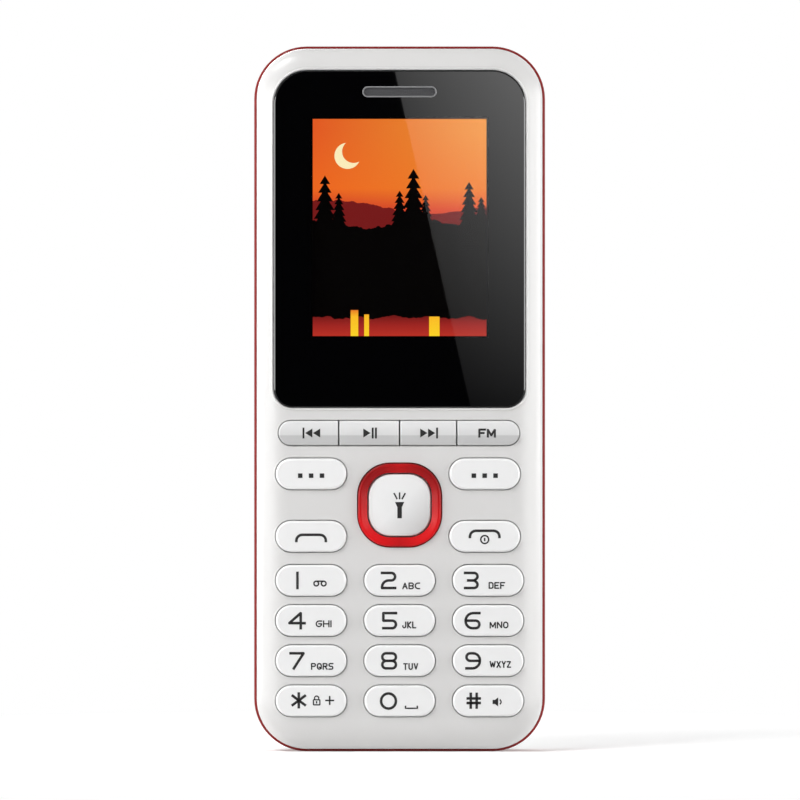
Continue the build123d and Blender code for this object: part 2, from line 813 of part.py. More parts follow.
# Mid-frame: the red band round the middle, with the holes in its two ends
boss_relief = 0.1
with BuildPart() as mid_frame:
    with BuildSketch(front_plane(frame_back_y)):
        body_outline()
    extrude(amount=frame_depth)
    chamfer(mid_frame.faces().filter_by(Axis.Y).edges(), frame_edge)
    with BuildSketch(front_plane(frame_back_y)):
        body_outline(frame_wall)
        with Locations(*screw_places):
            Circle(rear_boss_radius + boss_relief)
    extrude(amount=frame_depth, mode=Mode.SUBTRACT)
    with BuildSketch(Plane.XY.offset(body_length)):
        with Locations((jack_x, jack_y)):
            Circle(jack_nose_radius + jack_nose_gap)
        with Locations((0, torch_y)):
            SlotOverall(lens_width + 2 * lens_gap, lens_height + 2 * lens_gap)
    extrude(amount=-frame_wall - cut_overrun, mode=Mode.SUBTRACT)
    with BuildSketch(Plane.XY):
        with Locations((0, usb_y)):
            RectangleRounded(usb_width + 2 * usb_gap, usb_thick + 2 * usb_gap, usb_corner + usb_gap)
        with Locations((mic_x, mic_y)):
            Circle(mic_hole_radius)
    extrude(amount=frame_wall + cut_overrun, mode=Mode.SUBTRACT)
save(mid_frame, "mid_frame")

# Main board, cut out round the headphone socket and drilled for the screws
board_gap = 0.15
board_hole_gap = 0.25
with BuildPart() as main_board:
    with BuildSketch(front_plane(board_back_y)):
        body_outline(frame_wall + board_gap)
        with Locations(*screw_places):
            Circle(screw_radius + board_hole_gap, mode=Mode.SUBTRACT)
        with Locations((jack_x, (jack_bottom_z - jack_body_gap + body_length) / 2)):
            Rectangle(
                jack_width + 2 * jack_body_gap,
                body_length - jack_bottom_z + jack_body_gap,
                mode=Mode.SUBTRACT,
            )
    extrude(amount=board_thick)
save(main_board, "main_board")

# Card sockets on the board, reached through windows in the battery bay's floor
sim_width = 15.4
sim_height = 17.0
sim_split = 1.0
sim_rise = 11.5
memory_width = 15.0
memory_height = 15.5
memory_drop = 10.5
socket_thick = 1.3
socket_shell = 0.25
socket_rim = 1.2
socket_gap = 0.2
sim_places = [(side * (sim_width + sim_split) / 2, battery_z + sim_rise) for side in (-1, 1)]
memory_place = (0, battery_z - memory_drop)


def card_sockets(places, width, height, name):
    """Flat sockets on the board's back, each hollow and open at its lower end."""
    with BuildPart() as sockets:
        with BuildSketch(front_plane(board_back_y + socket_thick)):
            with Locations(*places):
                Rectangle(width, height)
        extrude(amount=socket_thick)
        with BuildSketch(front_plane(board_back_y + socket_thick - socket_shell)):
            for x, z in places:
                with Locations((x, z - socket_rim)):
                    Rectangle(width - 2 * socket_rim, height)
        extrude(amount=socket_thick - 2 * socket_shell, mode=Mode.SUBTRACT)
    save(sockets, name)


card_sockets(sim_places, sim_width, sim_height, "sim_sockets")
card_sockets([memory_place], memory_width, memory_height, "memory_card_socket")

# Chip under its shield, above the battery
shield_width = 32.0
shield_thick = 1.8
shield_wall = 0.2
chip_size = 11.0
chip_thick = 1.0
with BuildPart() as shield_can:
    with BuildSketch(front_plane(board_back_y + shield_thick)):
        with Locations((0, shield_z)):
            Rectangle(shield_width, shield_height)
    extrude(amount=shield_thick)
    with BuildSketch(front_plane(board_back_y + shield_thick - shield_wall)):
        with Locations((0, shield_z)):
            Rectangle(shield_width - 2 * shield_wall, shield_height - 2 * shield_wall)
    extrude(amount=shield_thick - shield_wall, mode=Mode.SUBTRACT)
save(shield_can, "shield_can")

with BuildPart() as processor:
    with BuildSketch(front_plane(board_back_y + chip_thick)):
        with Locations((0, shield_z)):
            Rectangle(chip_size, chip_size)
    extrude(amount=chip_thick)
save(processor, "processor")

# Loudspeaker behind its slots, with a mesh between
speaker_thick = 3.0
speaker_edge = 0.4
speaker_mesh_thick = 0.2
collar_gap = 0.1
collar_wall = 0.8
collar_depth = 2.0
slot_count = 5
slot_length = 9.0
slot_width = 1.0
slot_pitch = 2.2
speaker_back_y = rear_plate_front_y - speaker_mesh_thick
with BuildPart() as loudspeaker:
    with BuildSketch(front_plane(speaker_back_y)):
        with Locations((0, speaker_z)):
            Circle(speaker_radius)
    extrude(amount=speaker_thick)
    fillet(loudspeaker.faces().sort_by(Axis.Y)[0].edges(), speaker_edge)
save(loudspeaker, "loudspeaker")

with BuildPart() as speaker_mesh:
    with BuildSketch(front_plane(rear_plate_front_y)):
        with Locations((0, speaker_z)):
            Circle(speaker_radius)
    extrude(amount=speaker_mesh_thick)
save(speaker_mesh, "speaker_mesh")

# Camera: module on the board, bezel on the rear housing and window in the bezel
camera_size = 7.0
camera_box_thick = 3.7
barrel_radius = 2.6
barrel_gap = 0.2
bezel_gap = 0.15
bezel_edge = 0.3
bezel_floor = 0.3
camera_window_radius = 3.2
camera_window_thick = 0.7
camera_window_gap = 0.05
with BuildPart() as camera_module:
    with BuildSketch(front_plane(board_back_y + camera_box_thick)):
        with Locations((0, camera_z)):
            Rectangle(camera_size, camera_size)
    extrude(amount=camera_box_thick)
    with BuildSketch(front_plane(rear_plate_back_y)):
        with Locations((0, camera_z)):
            Circle(barrel_radius)
    extrude(amount=rear_plate_back_y - board_back_y)
save(camera_module, "camera_module")

with BuildPart() as camera_bezel:
    with BuildSketch(front_plane(back_y)):
        with Locations((0, camera_z)):
            Circle(bezel_radius)
    extrude(amount=back_y - rear_plate_back_y)
    fillet(camera_bezel.faces().sort_by(Axis.Y)[-1].edges(), bezel_edge)
    with BuildSketch(front_plane(back_y)):
        with Locations((0, camera_z)):
            Circle(barrel_radius)
    extrude(amount=back_y - rear_plate_back_y, mode=Mode.SUBTRACT)
    with BuildSketch(front_plane(back_y)):
        with Locations((0, camera_z)):
            Circle(camera_window_radius + camera_window_gap)
    extrude(amount=back_y - rear_plate_back_y - bezel_floor, mode=Mode.SUBTRACT)
save(camera_bezel, "camera_bezel")

with BuildPart() as camera_window:
    with BuildSketch(front_plane(rear_plate_back_y + bezel_floor + camera_window_thick)):
        with Locations((0, camera_z)):
            Circle(camera_window_radius)
    extrude(amount=camera_window_thick)
save(camera_window, "camera_window")

# Vibration motor, with its weight on the end of the shaft
motor_length = 5.5
motor_side_margin = 14.0
motor_board_gap = 0.05
weight_radius = 1.8
weight_length = 3.0
weight_gap = 0.3
shaft_radius = 0.4
shaft_gap = 0.05
shaft_seat = 1.5
hub_radius = 0.7
motor_y = board_back_y + motor_board_gap + motor_radius
motor_right_x = motor_side_margin - body_width / 2
motor_left_x = motor_right_x - motor_length
weight_left_x = motor_left_x - weight_gap - weight_length
with BuildPart() as vibration_motor:
    with BuildSketch(Plane.YZ.offset(motor_left_x)):
        with Locations((motor_y, motor_z)):
            Circle(motor_radius)
    extrude(amount=motor_length)
    with BuildSketch(Plane.YZ.offset(motor_left_x)):
        with Locations((motor_y, motor_z)):
            Circle(shaft_radius + shaft_gap)
    extrude(amount=shaft_seat + shaft_gap, mode=Mode.SUBTRACT)
save(vibration_motor, "vibration_motor")

with BuildPart() as vibration_weight:
    with BuildSketch(Plane.YZ.offset(weight_left_x)):
        with Locations((motor_y, motor_z)):
            Circle(weight_radius)
        with Locations((motor_y, motor_z + weight_radius / 2)):
            Rectangle(2 * weight_radius, weight_radius, mode=Mode.SUBTRACT)
        with Locations((motor_y, motor_z)):
            Circle(hub_radius)
    extrude(amount=weight_length)
    with BuildSketch(Plane.YZ.offset(weight_left_x)):
        with Locations((motor_y, motor_z)):
            Circle(shaft_radius)
    extrude(amount=weight_length + weight_gap + shaft_seat)
save(vibration_weight, "vibration_weight")

# Battery, with three contacts in its lower end
battery_edge = 1.0
contact_count = 3
contact_pitch = 3.0
terminal_width = 2.0
terminal_height = 1.6
terminal_recess = 0.3
battery_y = battery_front_y + battery_thick / 2
with BuildPart() as battery:
    with BuildSketch(Plane.XY.offset(battery_bottom_z)):
        with Locations((0, battery_y)):
            RectangleRounded(battery_width, battery_thick, battery_edge)
    extrude(amount=battery_height)
    with BuildSketch(Plane.XY.offset(battery_bottom_z)):
        with Locations((0, battery_y)):
            with GridLocations(contact_pitch, 0, contact_count, 1):
                Rectangle(terminal_width, terminal_height)
    extrude(amount=terminal_recess, mode=Mode.SUBTRACT)
save(battery, "battery")

# The board's side of those contacts: a block in the bay's wall, with three bowed springs
connector_width = 10.0
connector_tail = 1.0
connector_rise = 0.9
connector_gap = 0.2
spring_width = 1.2
spring_span = 2.8
spring_thick = 0.12
spring_tip_gap = 0.1
connector_top_z = battery_bottom_z - bay_gap
connector_bottom_z = bay_bottom_z - connector_tail
connector_back_y = battery_y + connector_rise
spring_tip_z = battery_bottom_z - spring_tip_gap
spring_back_y = connector_back_y - spring_thick
spring_front_y = spring_back_y - spring_span
spring_mid_y = (spring_back_y + spring_front_y) / 2
with BuildPart() as battery_connector:
    with BuildSketch(Plane.XY.offset(connector_bottom_z)):
        with Locations((0, (board_back_y + connector_back_y) / 2)):
            Rectangle(connector_width, connector_back_y - board_back_y)
    extrude(amount=connector_top_z - connector_bottom_z)
    for place in range(contact_count):
        spring_x = (place - (contact_count - 1) / 2) * contact_pitch
        with BuildSketch(Plane.YZ.offset(spring_x - spring_width / 2)):
            with BuildLine():
                ThreePointArc(
                    (spring_front_y, connector_top_z),
                    (spring_mid_y, spring_tip_z),
                    (spring_back_y, connector_top_z),
                )
                Line(
                    (spring_back_y, connector_top_z),
                    (spring_back_y - spring_span / 4, connector_top_z),
                )
                ThreePointArc(
                    (spring_back_y - spring_span / 4, connector_top_z),
                    (spring_mid_y, spring_tip_z - spring_thick),
                    (spring_front_y + spring_span / 4, connector_top_z),
                )
                Line(
                    (spring_front_y + spring_span / 4, connector_top_z),
                    (spring_front_y, connector_top_z),
                )
            make_face()
        extrude(amount=spring_width)
save(battery_connector, "battery_connector")

# Antenna: foil on a hollow plastic carrier at the bottom end
carrier_side_margin = 5.5
carrier_bottom_z = 8.0
carrier_bay_gap = 1.8
carrier_wall = 1.0
foil_thick = 0.2
foil_gap = 0.2
foil_inset = 1.0
foil_slot_width = 1.2
foil_slot_count = 3
carrier_width = body_width - 2 * carrier_side_margin
carrier_top_z = bay_bottom_z - carrier_bay_gap
carrier_z = (carrier_top_z + carrier_bottom_z) / 2
foil_back_y = rear_plate_front_y - foil_gap
carrier_back_y = foil_back_y - foil_thick
foil_height = carrier_top_z - carrier_bottom_z - 2 * foil_inset
foil_width = carrier_width - 2 * foil_inset
with BuildPart() as antenna_carrier:
    with BuildSketch(front_plane(carrier_back_y)):
        with Locations((0, carrier_z)):
            Rectangle(carrier_width, carrier_top_z - carrier_bottom_z)
    extrude(amount=carrier_back_y - board_back_y)
    with BuildSketch(front_plane(carrier_back_y - carrier_wall)):
        with Locations((0, carrier_z)):
            Rectangle(
                carrier_width - 2 * carrier_wall,
                carrier_top_z - carrier_bottom_z - 2 * carrier_wall,
            )
    extrude(amount=carrier_back_y - carrier_wall - board_back_y, mode=Mode.SUBTRACT)
save(antenna_carrier, "antenna_carrier")

with BuildPart() as antenna:
    with BuildSketch(front_plane(foil_back_y)):
        with Locations((0, carrier_z)):
            Rectangle(foil_width, foil_height)
        slot_step = foil_width / (foil_slot_count + 1)
        for place in range(foil_slot_count):
            side = 1 if place % 2 else -1
            slot_x = (place + 1) * slot_step - foil_width / 2
            with Locations((slot_x, carrier_z + side * foil_inset)):
                Rectangle(foil_slot_width, foil_height - foil_inset, mode=Mode.SUBTRACT)
    extrude(amount=foil_thick)
save(antenna, "antenna")

# Screws, driven from the back through the rear bosses and the board
screw_length = 5.0
screw_head_radius = 1.4
screw_head_height = 0.8
screw_well_gap = 0.15
screw_web = 2.1
cross_width = 0.35
cross_depth = 0.4
seat_y = board_back_y + screw_web
with BuildPart() as housing_screws:
    with BuildSketch(front_plane(seat_y)):
        with Locations(*screw_places):
            Circle(screw_radius)
    extrude(amount=screw_length)
    with BuildSketch(front_plane(seat_y + screw_head_height)):
        with Locations(*screw_places):
            Circle(screw_head_radius)
    extrude(amount=screw_head_height)
    with BuildSketch(front_plane(seat_y + screw_head_height)):
        with Locations(*screw_places):
            Rectangle(2 * screw_radius, cross_width)
            Rectangle(cross_width, 2 * screw_radius)
    extrude(amount=cross_depth, mode=Mode.SUBTRACT)
save(housing_screws, "housing_screws")

# Rear housing, with the battery bay, the screw bosses and the loudspeaker's collar
lug_width = 3.0
lug_thick = 0.8
lug_depth = 0.8
lug_gap = 0.15
lug_side_margin = 6.5
lug_bottom_z = 14.0
lug_top_margin = 21.9
lug_x = body_width / 2 - lug_side_margin
lug_places = [
    (side * lug_x, z) for z in (lug_bottom_z, body_length - lug_top_margin) for side in (-1, 1)
]
rear_inset = cover_wall + cover_gap
with BuildPart() as rear_columns:
    with BuildSketch(front_plane(rear_plate_front_y)):
        with Locations(*screw_places):
            Circle(rear_boss_radius)
    extrude(amount=rear_plate_front_y - board_back_y)
    with BuildSketch(front_plane(rear_plate_front_y)):
        with Locations((0, battery_z)):
            RectangleRounded(
                battery_width + 2 * (bay_gap + bay_wall),
                battery_height + 2 * (bay_gap + bay_wall),
                bay_wall + bay_gap,
            )
    extrude(amount=rear_plate_front_y - bay_floor_front_y)
    with BuildSketch(front_plane(rear_plate_front_y)):
        with Locations((0, speaker_z)):
            Circle(speaker_radius + collar_gap + collar_wall)
            Circle(speaker_radius + collar_gap, mode=Mode.SUBTRACT)
    extrude(amount=collar_depth)
    add(
        rolled_block(
            rear_inset,
            board_back_y,
            rear_plate_back_y,
            cover_inner_roll_width,
            cover_inner_roll_depth,
        ),
        mode=Mode.INTERSECT,
    )
with BuildPart() as rear_housing:
    add(
        rolled_block(
            rear_inset,
            frame_back_y,
            rear_plate_back_y,
            cover_inner_roll_width,
            cover_inner_roll_depth,
        )
    )
    add(
        rolled_block(
            rear_inset + rear_wall,
            frame_back_y,
            rear_plate_front_y,
            cover_inner_roll_width,
            cover_inner_roll_depth,
        ),
        mode=Mode.SUBTRACT,
    )
    add(rear_columns.part)
    with BuildSketch(front_plane(rear_plate_back_y)):
        with Locations((0, battery_z)):
            RectangleRounded(battery_width + 2 * bay_gap, battery_height + 2 * bay_gap, bay_gap)
    extrude(amount=rear_plate_back_y - bay_floor_back_y, mode=Mode.SUBTRACT)
    with BuildSketch(front_plane(bay_floor_back_y)):
        with Locations(*sim_places):
            Rectangle(sim_width + 2 * socket_gap, sim_height + 2 * socket_gap)
        with Locations(memory_place):
            Rectangle(memory_width + 2 * socket_gap, memory_height + 2 * socket_gap)
    extrude(amount=bay_floor, mode=Mode.SUBTRACT)
    with BuildSketch(Plane.XY.offset(bay_bottom_z)):
        with Locations((0, (bay_floor_front_y + connector_back_y + connector_gap) / 2)):
            Rectangle(
                connector_width + 2 * connector_gap,
                connector_back_y + connector_gap - bay_floor_front_y,
            )
    extrude(amount=bay_wall + connector_gap, mode=Mode.SUBTRACT)
    with BuildSketch(front_plane(back_y)):
        with Locations(*screw_places):
            Circle(screw_head_radius + screw_well_gap)
    extrude(amount=back_y - seat_y, mode=Mode.SUBTRACT)
    with BuildSketch(front_plane(seat_y)):
        with Locations(*screw_places):
            Circle(screw_radius + screw_well_gap)
    extrude(amount=screw_web, mode=Mode.SUBTRACT)
    with BuildSketch(front_plane(rear_plate_back_y)):
        with Locations((0, camera_z)):
            Circle(barrel_radius + barrel_gap)
        with Locations((0, speaker_z)):
            with GridLocations(0, slot_pitch, 1, slot_count):
                SlotOverall(slot_length, slot_width)
        with Locations(*lug_places):
            Rectangle(lug_width + 2 * lug_gap, lug_thick + 2 * lug_gap)
    extrude(amount=rear_plate, mode=Mode.SUBTRACT)
save(rear_housing, "rear_housing")

# Battery cover, with four locating lugs and a thumb notch in its lower edge
notch_width = 9.0
notch_height = 1.2
notch_depth = 0.6
with BuildPart() as battery_cover:
    add(rolled_block(0, cover_front_y, back_y, cover_roll_width, cover_roll_depth))
    add(
        rolled_block(
            cover_wall,
            cover_front_y,
            cover_inner_y,
            cover_inner_roll_width,
            cover_inner_roll_depth,
        ),
        mode=Mode.SUBTRACT,
    )
    with BuildSketch(front_plane(cover_inner_y)):
        with Locations(*lug_places):
            Rectangle(lug_width, lug_thick)
    extrude(amount=lug_depth)
    with BuildSketch(front_plane(back_y)):
        with Locations((0, camera_z)):
            Circle(bezel_radius + bezel_gap)
        with Locations((0, speaker_z)):
            with GridLocations(0, slot_pitch, 1, slot_count):
                SlotOverall(slot_length, slot_width)
    extrude(amount=cover_wall, mode=Mode.SUBTRACT)
    with BuildSketch(Plane.XY):
        with Locations((0, cover_front_y)):
            SlotOverall(notch_width, 2 * notch_height)
    extrude(amount=notch_depth, mode=Mode.SUBTRACT)
save(battery_cover, "battery_cover")
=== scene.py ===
# %% [markdown]
# A bar-shaped feature phone: a white front shell with a black gloss window, a red ring, pill-shaped
# keys and a red band round the middle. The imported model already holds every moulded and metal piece
# at its real size, so this lesson gives each one its finish, and adds what is too thin or too fine
# to be a part of its own: the printed legends, the fine rims and the woven meshes.

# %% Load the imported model
import math

import bmesh
import bpy
import mathutils
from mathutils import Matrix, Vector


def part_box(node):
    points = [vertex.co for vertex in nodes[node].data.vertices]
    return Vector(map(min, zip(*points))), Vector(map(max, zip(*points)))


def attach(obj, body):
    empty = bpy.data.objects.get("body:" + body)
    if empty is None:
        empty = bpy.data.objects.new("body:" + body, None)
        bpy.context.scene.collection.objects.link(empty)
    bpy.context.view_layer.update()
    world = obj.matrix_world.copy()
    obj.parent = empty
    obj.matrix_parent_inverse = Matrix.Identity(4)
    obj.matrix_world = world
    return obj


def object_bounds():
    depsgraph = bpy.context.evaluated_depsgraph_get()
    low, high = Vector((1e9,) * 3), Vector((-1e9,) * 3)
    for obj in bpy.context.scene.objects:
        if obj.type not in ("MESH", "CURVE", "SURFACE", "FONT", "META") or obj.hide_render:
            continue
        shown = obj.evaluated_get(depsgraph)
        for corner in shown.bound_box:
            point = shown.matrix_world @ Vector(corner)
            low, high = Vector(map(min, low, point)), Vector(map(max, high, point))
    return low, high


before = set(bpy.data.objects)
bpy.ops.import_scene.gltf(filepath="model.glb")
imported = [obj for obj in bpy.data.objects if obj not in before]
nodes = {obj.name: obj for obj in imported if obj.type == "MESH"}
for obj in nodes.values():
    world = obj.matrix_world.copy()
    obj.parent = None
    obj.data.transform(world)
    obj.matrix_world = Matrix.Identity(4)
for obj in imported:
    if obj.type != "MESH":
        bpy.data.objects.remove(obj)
cad_low, cad_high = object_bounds()
MM = 0.001
size_text = " x ".join(f"{(high - low) / MM:.1f}" for low, high in zip(cad_low, cad_high))
print(f"{len(nodes)} nodes, {size_text} mm")

# %% [markdown]
# The camera stands straight in front of the phone, far away with a long lens, because the photograph
# shows almost no perspective. Its distance is worked out from the width that the frame takes in, so
# the phone fills the picture as it does in the photograph.

# %% Camera
PICTURE_PIXELS = 800
MM_PER_PIXEL = 0.16107
PHONE_MIDDLE_PIXEL = 399.6
PHONE_BOTTOM_PIXEL = 752.4
SENSOR_MM = 36.0
LENS_MM = 300.0
CLIP_RATIO = 100


def add_object(name, data):
    """A new object in the scene."""
    made = bpy.data.objects.new(name, data)
    bpy.context.scene.collection.objects.link(made)
    return made


face_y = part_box("display_window")[0].y
frame_width = PICTURE_PIXELS * MM_PER_PIXEL * MM
camera_distance = frame_width * LENS_MM / SENSOR_MM
camera_x = (PICTURE_PIXELS / 2 - PHONE_MIDDLE_PIXEL) * MM_PER_PIXEL * MM
camera_z = (PHONE_BOTTOM_PIXEL - PICTURE_PIXELS / 2) * MM_PER_PIXEL * MM

camera_data = bpy.data.cameras.new("camera")
camera_data.sensor_width = SENSOR_MM
camera_data.lens = LENS_MM
camera_data.clip_start = camera_distance / CLIP_RATIO
camera_data.clip_end = camera_distance * CLIP_RATIO
camera = add_object("camera", camera_data)
camera.location = (camera_x, face_y - camera_distance, camera_z)
camera.rotation_euler = (math.radians(90), 0, 0)
bpy.context.scene.camera = camera
print(f"camera {camera_distance:.3f} m in front of the face")

# %% [markdown]
# Finishes and shapes are both node trees. A `Value` is what leaves a node, and arithmetic on it adds
# Math nodes, so a formula reads as it does on paper. `put` adds a node and feeds its inputs, `flow`
# does the same and returns one output, and `step` sends a geometry on through the next node.


# %% Helpers for node trees
def operator(operation):
    """A method that adds one Math node."""
    return lambda *numbers: sums(operation, *numbers)


class Value:
    """What leaves a node. Arithmetic on it adds Math nodes to its tree."""

    def __init__(self, socket):
        self.socket = socket
        self.tree = socket.id_data

    def into(self, socket):
        """Links this value to another node's input."""
        self.tree.links.new(self.socket, socket)

    def step(self, kind, inputs=(), output=None, **settings):
        """Sends this geometry into the first input of a geometry node, and returns what leaves it."""
        fed = {0: self, **dict(inputs)}
        return flow(self.tree, f"GeometryNode{kind}", fed, output, **settings)

    def __rsub__(self, other):
        return sums("SUBTRACT", other, self)

    __add__ = operator("ADD")
    __sub__ = operator("SUBTRACT")
    __mul__ = operator("MULTIPLY")
    __truediv__ = operator("DIVIDE")
    __mod__ = operator("MODULO")
    __lt__ = operator("LESS_THAN")
    __gt__ = operator("GREATER_THAN")
    __abs__ = operator("ABSOLUTE")


def socket_named(sockets, name):
    """The socket in use under a name, or the one at a number. Some nodes keep several of one name."""
    if isinstance(name, int):
        return sockets[name]
    return next(socket for socket in sockets if socket.enabled and socket.name == name)


def put(tree, kind, inputs=(), **settings):
    """Adds a node. Inputs are given by name or number, as plain values or as what leaves a node."""
    node = tree.nodes.new(kind)
    for name, value in settings.items():
        setattr(node, name, value)
    for name, value in dict(inputs).items():
        socket = socket_named(node.inputs, name)
        if isinstance(value, Value):
            value.into(socket)
        else:
            socket.default_value = value
    return node


def flow(tree, kind, inputs=(), output=None, **settings):
    """Adds a node and returns its output of that name, or its first one in use."""
    outputs = put(tree, kind, inputs, **settings).outputs
    if output:
        return Value(socket_named(outputs, output))
    return Value(next(socket for socket in outputs if socket.enabled))


def sums(operation, *numbers):
    """One step of arithmetic, in the tree of the first number that leaves a node."""
    tree = next(number.tree for number in numbers if isinstance(number, Value))
    return flow(tree, "ShaderNodeMath", dict(enumerate(numbers)), operation=operation)


def axes_of(vector):
    """The X, Y and Z of a vector."""
    return [Value(socket) for socket in put(vector.tree, "ShaderNodeSeparateXYZ", {0: vector}).outputs]


def point(tree, x=0.0, y=0.0, z=0.0):
    """A vector from its X, Y and Z."""
    return flow(tree, "ShaderNodeCombineXYZ", {0: x, 1: y, 2: z})


def mapped(value, start, end, low, high, **settings):
    """Low up to the start, high from the end on, and a rise or fall between them."""
    inputs = {"Value": value, "From Min": start, "From Max": end, "To Min": low, "To Max": high}
    return flow(value.tree, "ShaderNodeMapRange", inputs, **settings)


def blended(share, under, over):
    """One colour laid over another, by a share from 0 to 1."""
    inputs = {"Factor": share, "A": under, "B": over}
    return flow(share.tree, "ShaderNodeMix", inputs, data_type="RGBA")


def scaled(color, share):
    """A colour multiplied by a number."""
    return flow(share.tree, "ShaderNodeVectorMath", {0: color, "Scale": share}, operation="SCALE")


def tint(red, green, blue):
    """A colour as it is read off a picture, 0 to 255, turned into the linear values of a shader."""
    def linear(value):
        share = value / 255
        return share / 12.92 if share <= 0.04045 else ((share + 0.055) / 1.055) ** 2.4
    return (linear(red), linear(green), linear(blue), 1.0)


# %% [markdown]
# Moulded plastic is never one flat value. Each finish starts from the same recipe: a base colour that
# drifts a little over centimetres, a roughness that drifts over millimetres where hands have been, and
# a fine grain from the mould as a bump. The recipe takes real sizes, so a matte shell gets a coarser
# grain than a polished key.

# %% The recipe for a finish
COLOR_BLOB = 14.0
WEAR_BLOB = 9.0
NOISE_LOW = 0.3
NOISE_HIGH = 0.7


def object_place(tree):
    """The place on the piece in metres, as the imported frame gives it."""
    return flow(tree, "ShaderNodeTexCoord", output="Object")


def noise(place, size_mm, detail=2.0):
    """A soft random pattern whose blobs are about size_mm across."""
    inputs = {"Vector": place, "Scale": 1 / (size_mm * MM), "Detail": detail}
    return flow(place.tree, "ShaderNodeTexNoise", inputs)


def spread(value, low, high):
    """Maps the middle of a noise onto low to high."""
    return mapped(value, NOISE_LOW, NOISE_HIGH, low, high)


def finish(name, color, roughness, grain_mm=0.25, grain_depth=0.002, drift=0.02, **plain):
    """A moulded or metal finish of a colour read off a picture. Plain values go onto its sockets."""
    material = bpy.data.materials.new(name)
    material.use_nodes = True
    sockets = material.node_tree.nodes["Principled BSDF"].inputs
    place = object_place(material.node_tree)
    drifting = spread(noise(place, COLOR_BLOB), 1 - drift, 1 + drift)
    scaled(tint(*color)[:3], drifting).into(sockets["Base Color"])
    worn = spread(noise(place, WEAR_BLOB), roughness * (1 - 2 * drift), roughness * (1 + 2 * drift))
    worn.into(sockets["Roughness"])
    grain = {"Height": noise(place, grain_mm), "Strength": 1.0, "Distance": grain_depth * MM}
    flow(place.tree, "ShaderNodeBump", grain).into(sockets["Normal"])
    for socket, value in plain.items():
        sockets[socket.replace("_", " ")].default_value = value
    return material


def dress(material, *names):
    """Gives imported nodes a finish."""
    for name in names:
        for slot in nodes[name].material_slots:
            slot.material = material
    print(f"{material.name}: {len(names)} nodes")


# %% [markdown]
# The shells and keys are the same white gloss plastic, but the keys are a shade lighter, as in the
# photograph, and the four keys of the music strip a shade darker. The band round the middle is a dull
# dark red, while the ring is a clean bright red.

# %% White and red plastics
KEY_RECIPE = ((244, 244, 244), 0.25, 0.8, 0.0003, 0.004)
key_names = [name for name in nodes if name.startswith("key_") and name != "key_domes"]
shell_white = finish("white gloss shell", (221, 220, 219), 0.3, 0.8, 0.0004, 0.004)
key_white = finish("white key cap", *KEY_RECIPE)
# The centre key, the strip keys and the ring get painted shade and painted highlights over these colours
# further down.
center_white = finish("white centre key", *KEY_RECIPE)
strip_white = finish("pearl strip key", (221, 221, 221), 0.3, 0.8, 0.0003, 0.004)
frame_red = finish("dark red band", (134, 36, 36), 0.5, 0.2, 0.002, 0.02, Specular_IOR_Level=0.1)
ring_red = finish("red lacquer", (196, 14, 20), 0.3, 0.6, 0.0004, 0.02, Specular_IOR_Level=0.15)
dress(shell_white, "front_housing", "battery_cover")
dress(key_white, *key_names)
dress(center_white, "key_center")
dress(strip_white, "key_previous", "key_play_pause", "key_next", "key_radio")
dress(frame_red, "mid_frame")
dress(ring_red, "nav_ring")

# %% [markdown]
# The keys' colours carry painted shade and painted highlights, which stand in for how light falls on
# their shapes. The strip's keys step to a painted darker shade below their middle, the centre key has
# painted shade towards its lower right, and the ring has painted shade at its upper corners and painted
# highlights at its lower ones. Each is a number made of the place on the piece, and it multiplies the
# base colour.

# %% Painted shade and highlights on the keys
# Painted shade below the strip keys' step, and a painted highlight towards their top.
PAINTED_STEP_DROP = 0.35 * MM
PAINTED_STEP_SOFTNESS = 0.12 * MM
STRIP_PAINTED_SHADE = 0.78
STRIP_PAINTED_HIGHLIGHT = 1.15
# Painted light and painted shade of the centre key.
CENTER_PAINTED_LIGHT = 0.96
CENTER_PAINTED_SHADE = 0.6
# Painted highlights and painted shade at the ring's corners.
RING_PAINTED_HIGHLIGHT = 1.35
RING_PAINTED_SHADE = 0.5
CORNER = 0.5


def shade(material, share):
    """Paints shade and highlights into a finish's base colour: multiplies it by what share makes of X and
    Z.
    """
    socket = material.node_tree.nodes["Principled BSDF"].inputs["Base Color"]
    x, _, z = axes_of(object_place(material.node_tree))
    scaled(Value(socket.links[0].from_socket), share(x, z)).into(socket)


def strip_painted_shade_and_highlight(x, z):
    """Painted highlight at the top, and a step down to painted shade just below half height."""
    low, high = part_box("key_play_pause")
    middle = (low.z + high.z) / 2 - PAINTED_STEP_DROP
    step = mapped(z, middle - PAINTED_STEP_SOFTNESS, middle + PAINTED_STEP_SOFTNESS, STRIP_PAINTED_SHADE, 1.0)
    return step * mapped(z, middle, high.z, 1.0, STRIP_PAINTED_HIGHLIGHT)


def center_painted_shade(x, z):
    """Even up to the middle, then painted shade towards the lower right corner."""
    low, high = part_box("key_center")
    middle = (low.x + high.x) / 2 - (low.z + high.z) / 2
    return mapped(x - z, middle, middle + high.x - low.x, CENTER_PAINTED_LIGHT, CENTER_PAINTED_SHADE)


def ring_painted_shade_and_highlight(x, z):
    """Painted shade at the upper corners, painted highlights at the lower ones, even at the four sides."""
    low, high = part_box("nav_ring")
    half = (high.x - low.x) / 2
    corner = (abs(x) / half) * ((z - (low.z + high.z) / 2) / half)
    return mapped(corner, -CORNER, CORNER, RING_PAINTED_HIGHLIGHT, RING_PAINTED_SHADE)


# Paint the shade and highlights into the three finishes.
shade(strip_white, strip_painted_shade_and_highlight)
shade(center_white, center_painted_shade)
shade(ring_red, ring_painted_shade_and_highlight)

# %% [markdown]
# The inner pieces show when the cover and the battery come off, so they get finishes too: a matte grey
# rear shell, brushed metal for the can, the sockets and the screws, black moulded plastic and foam.

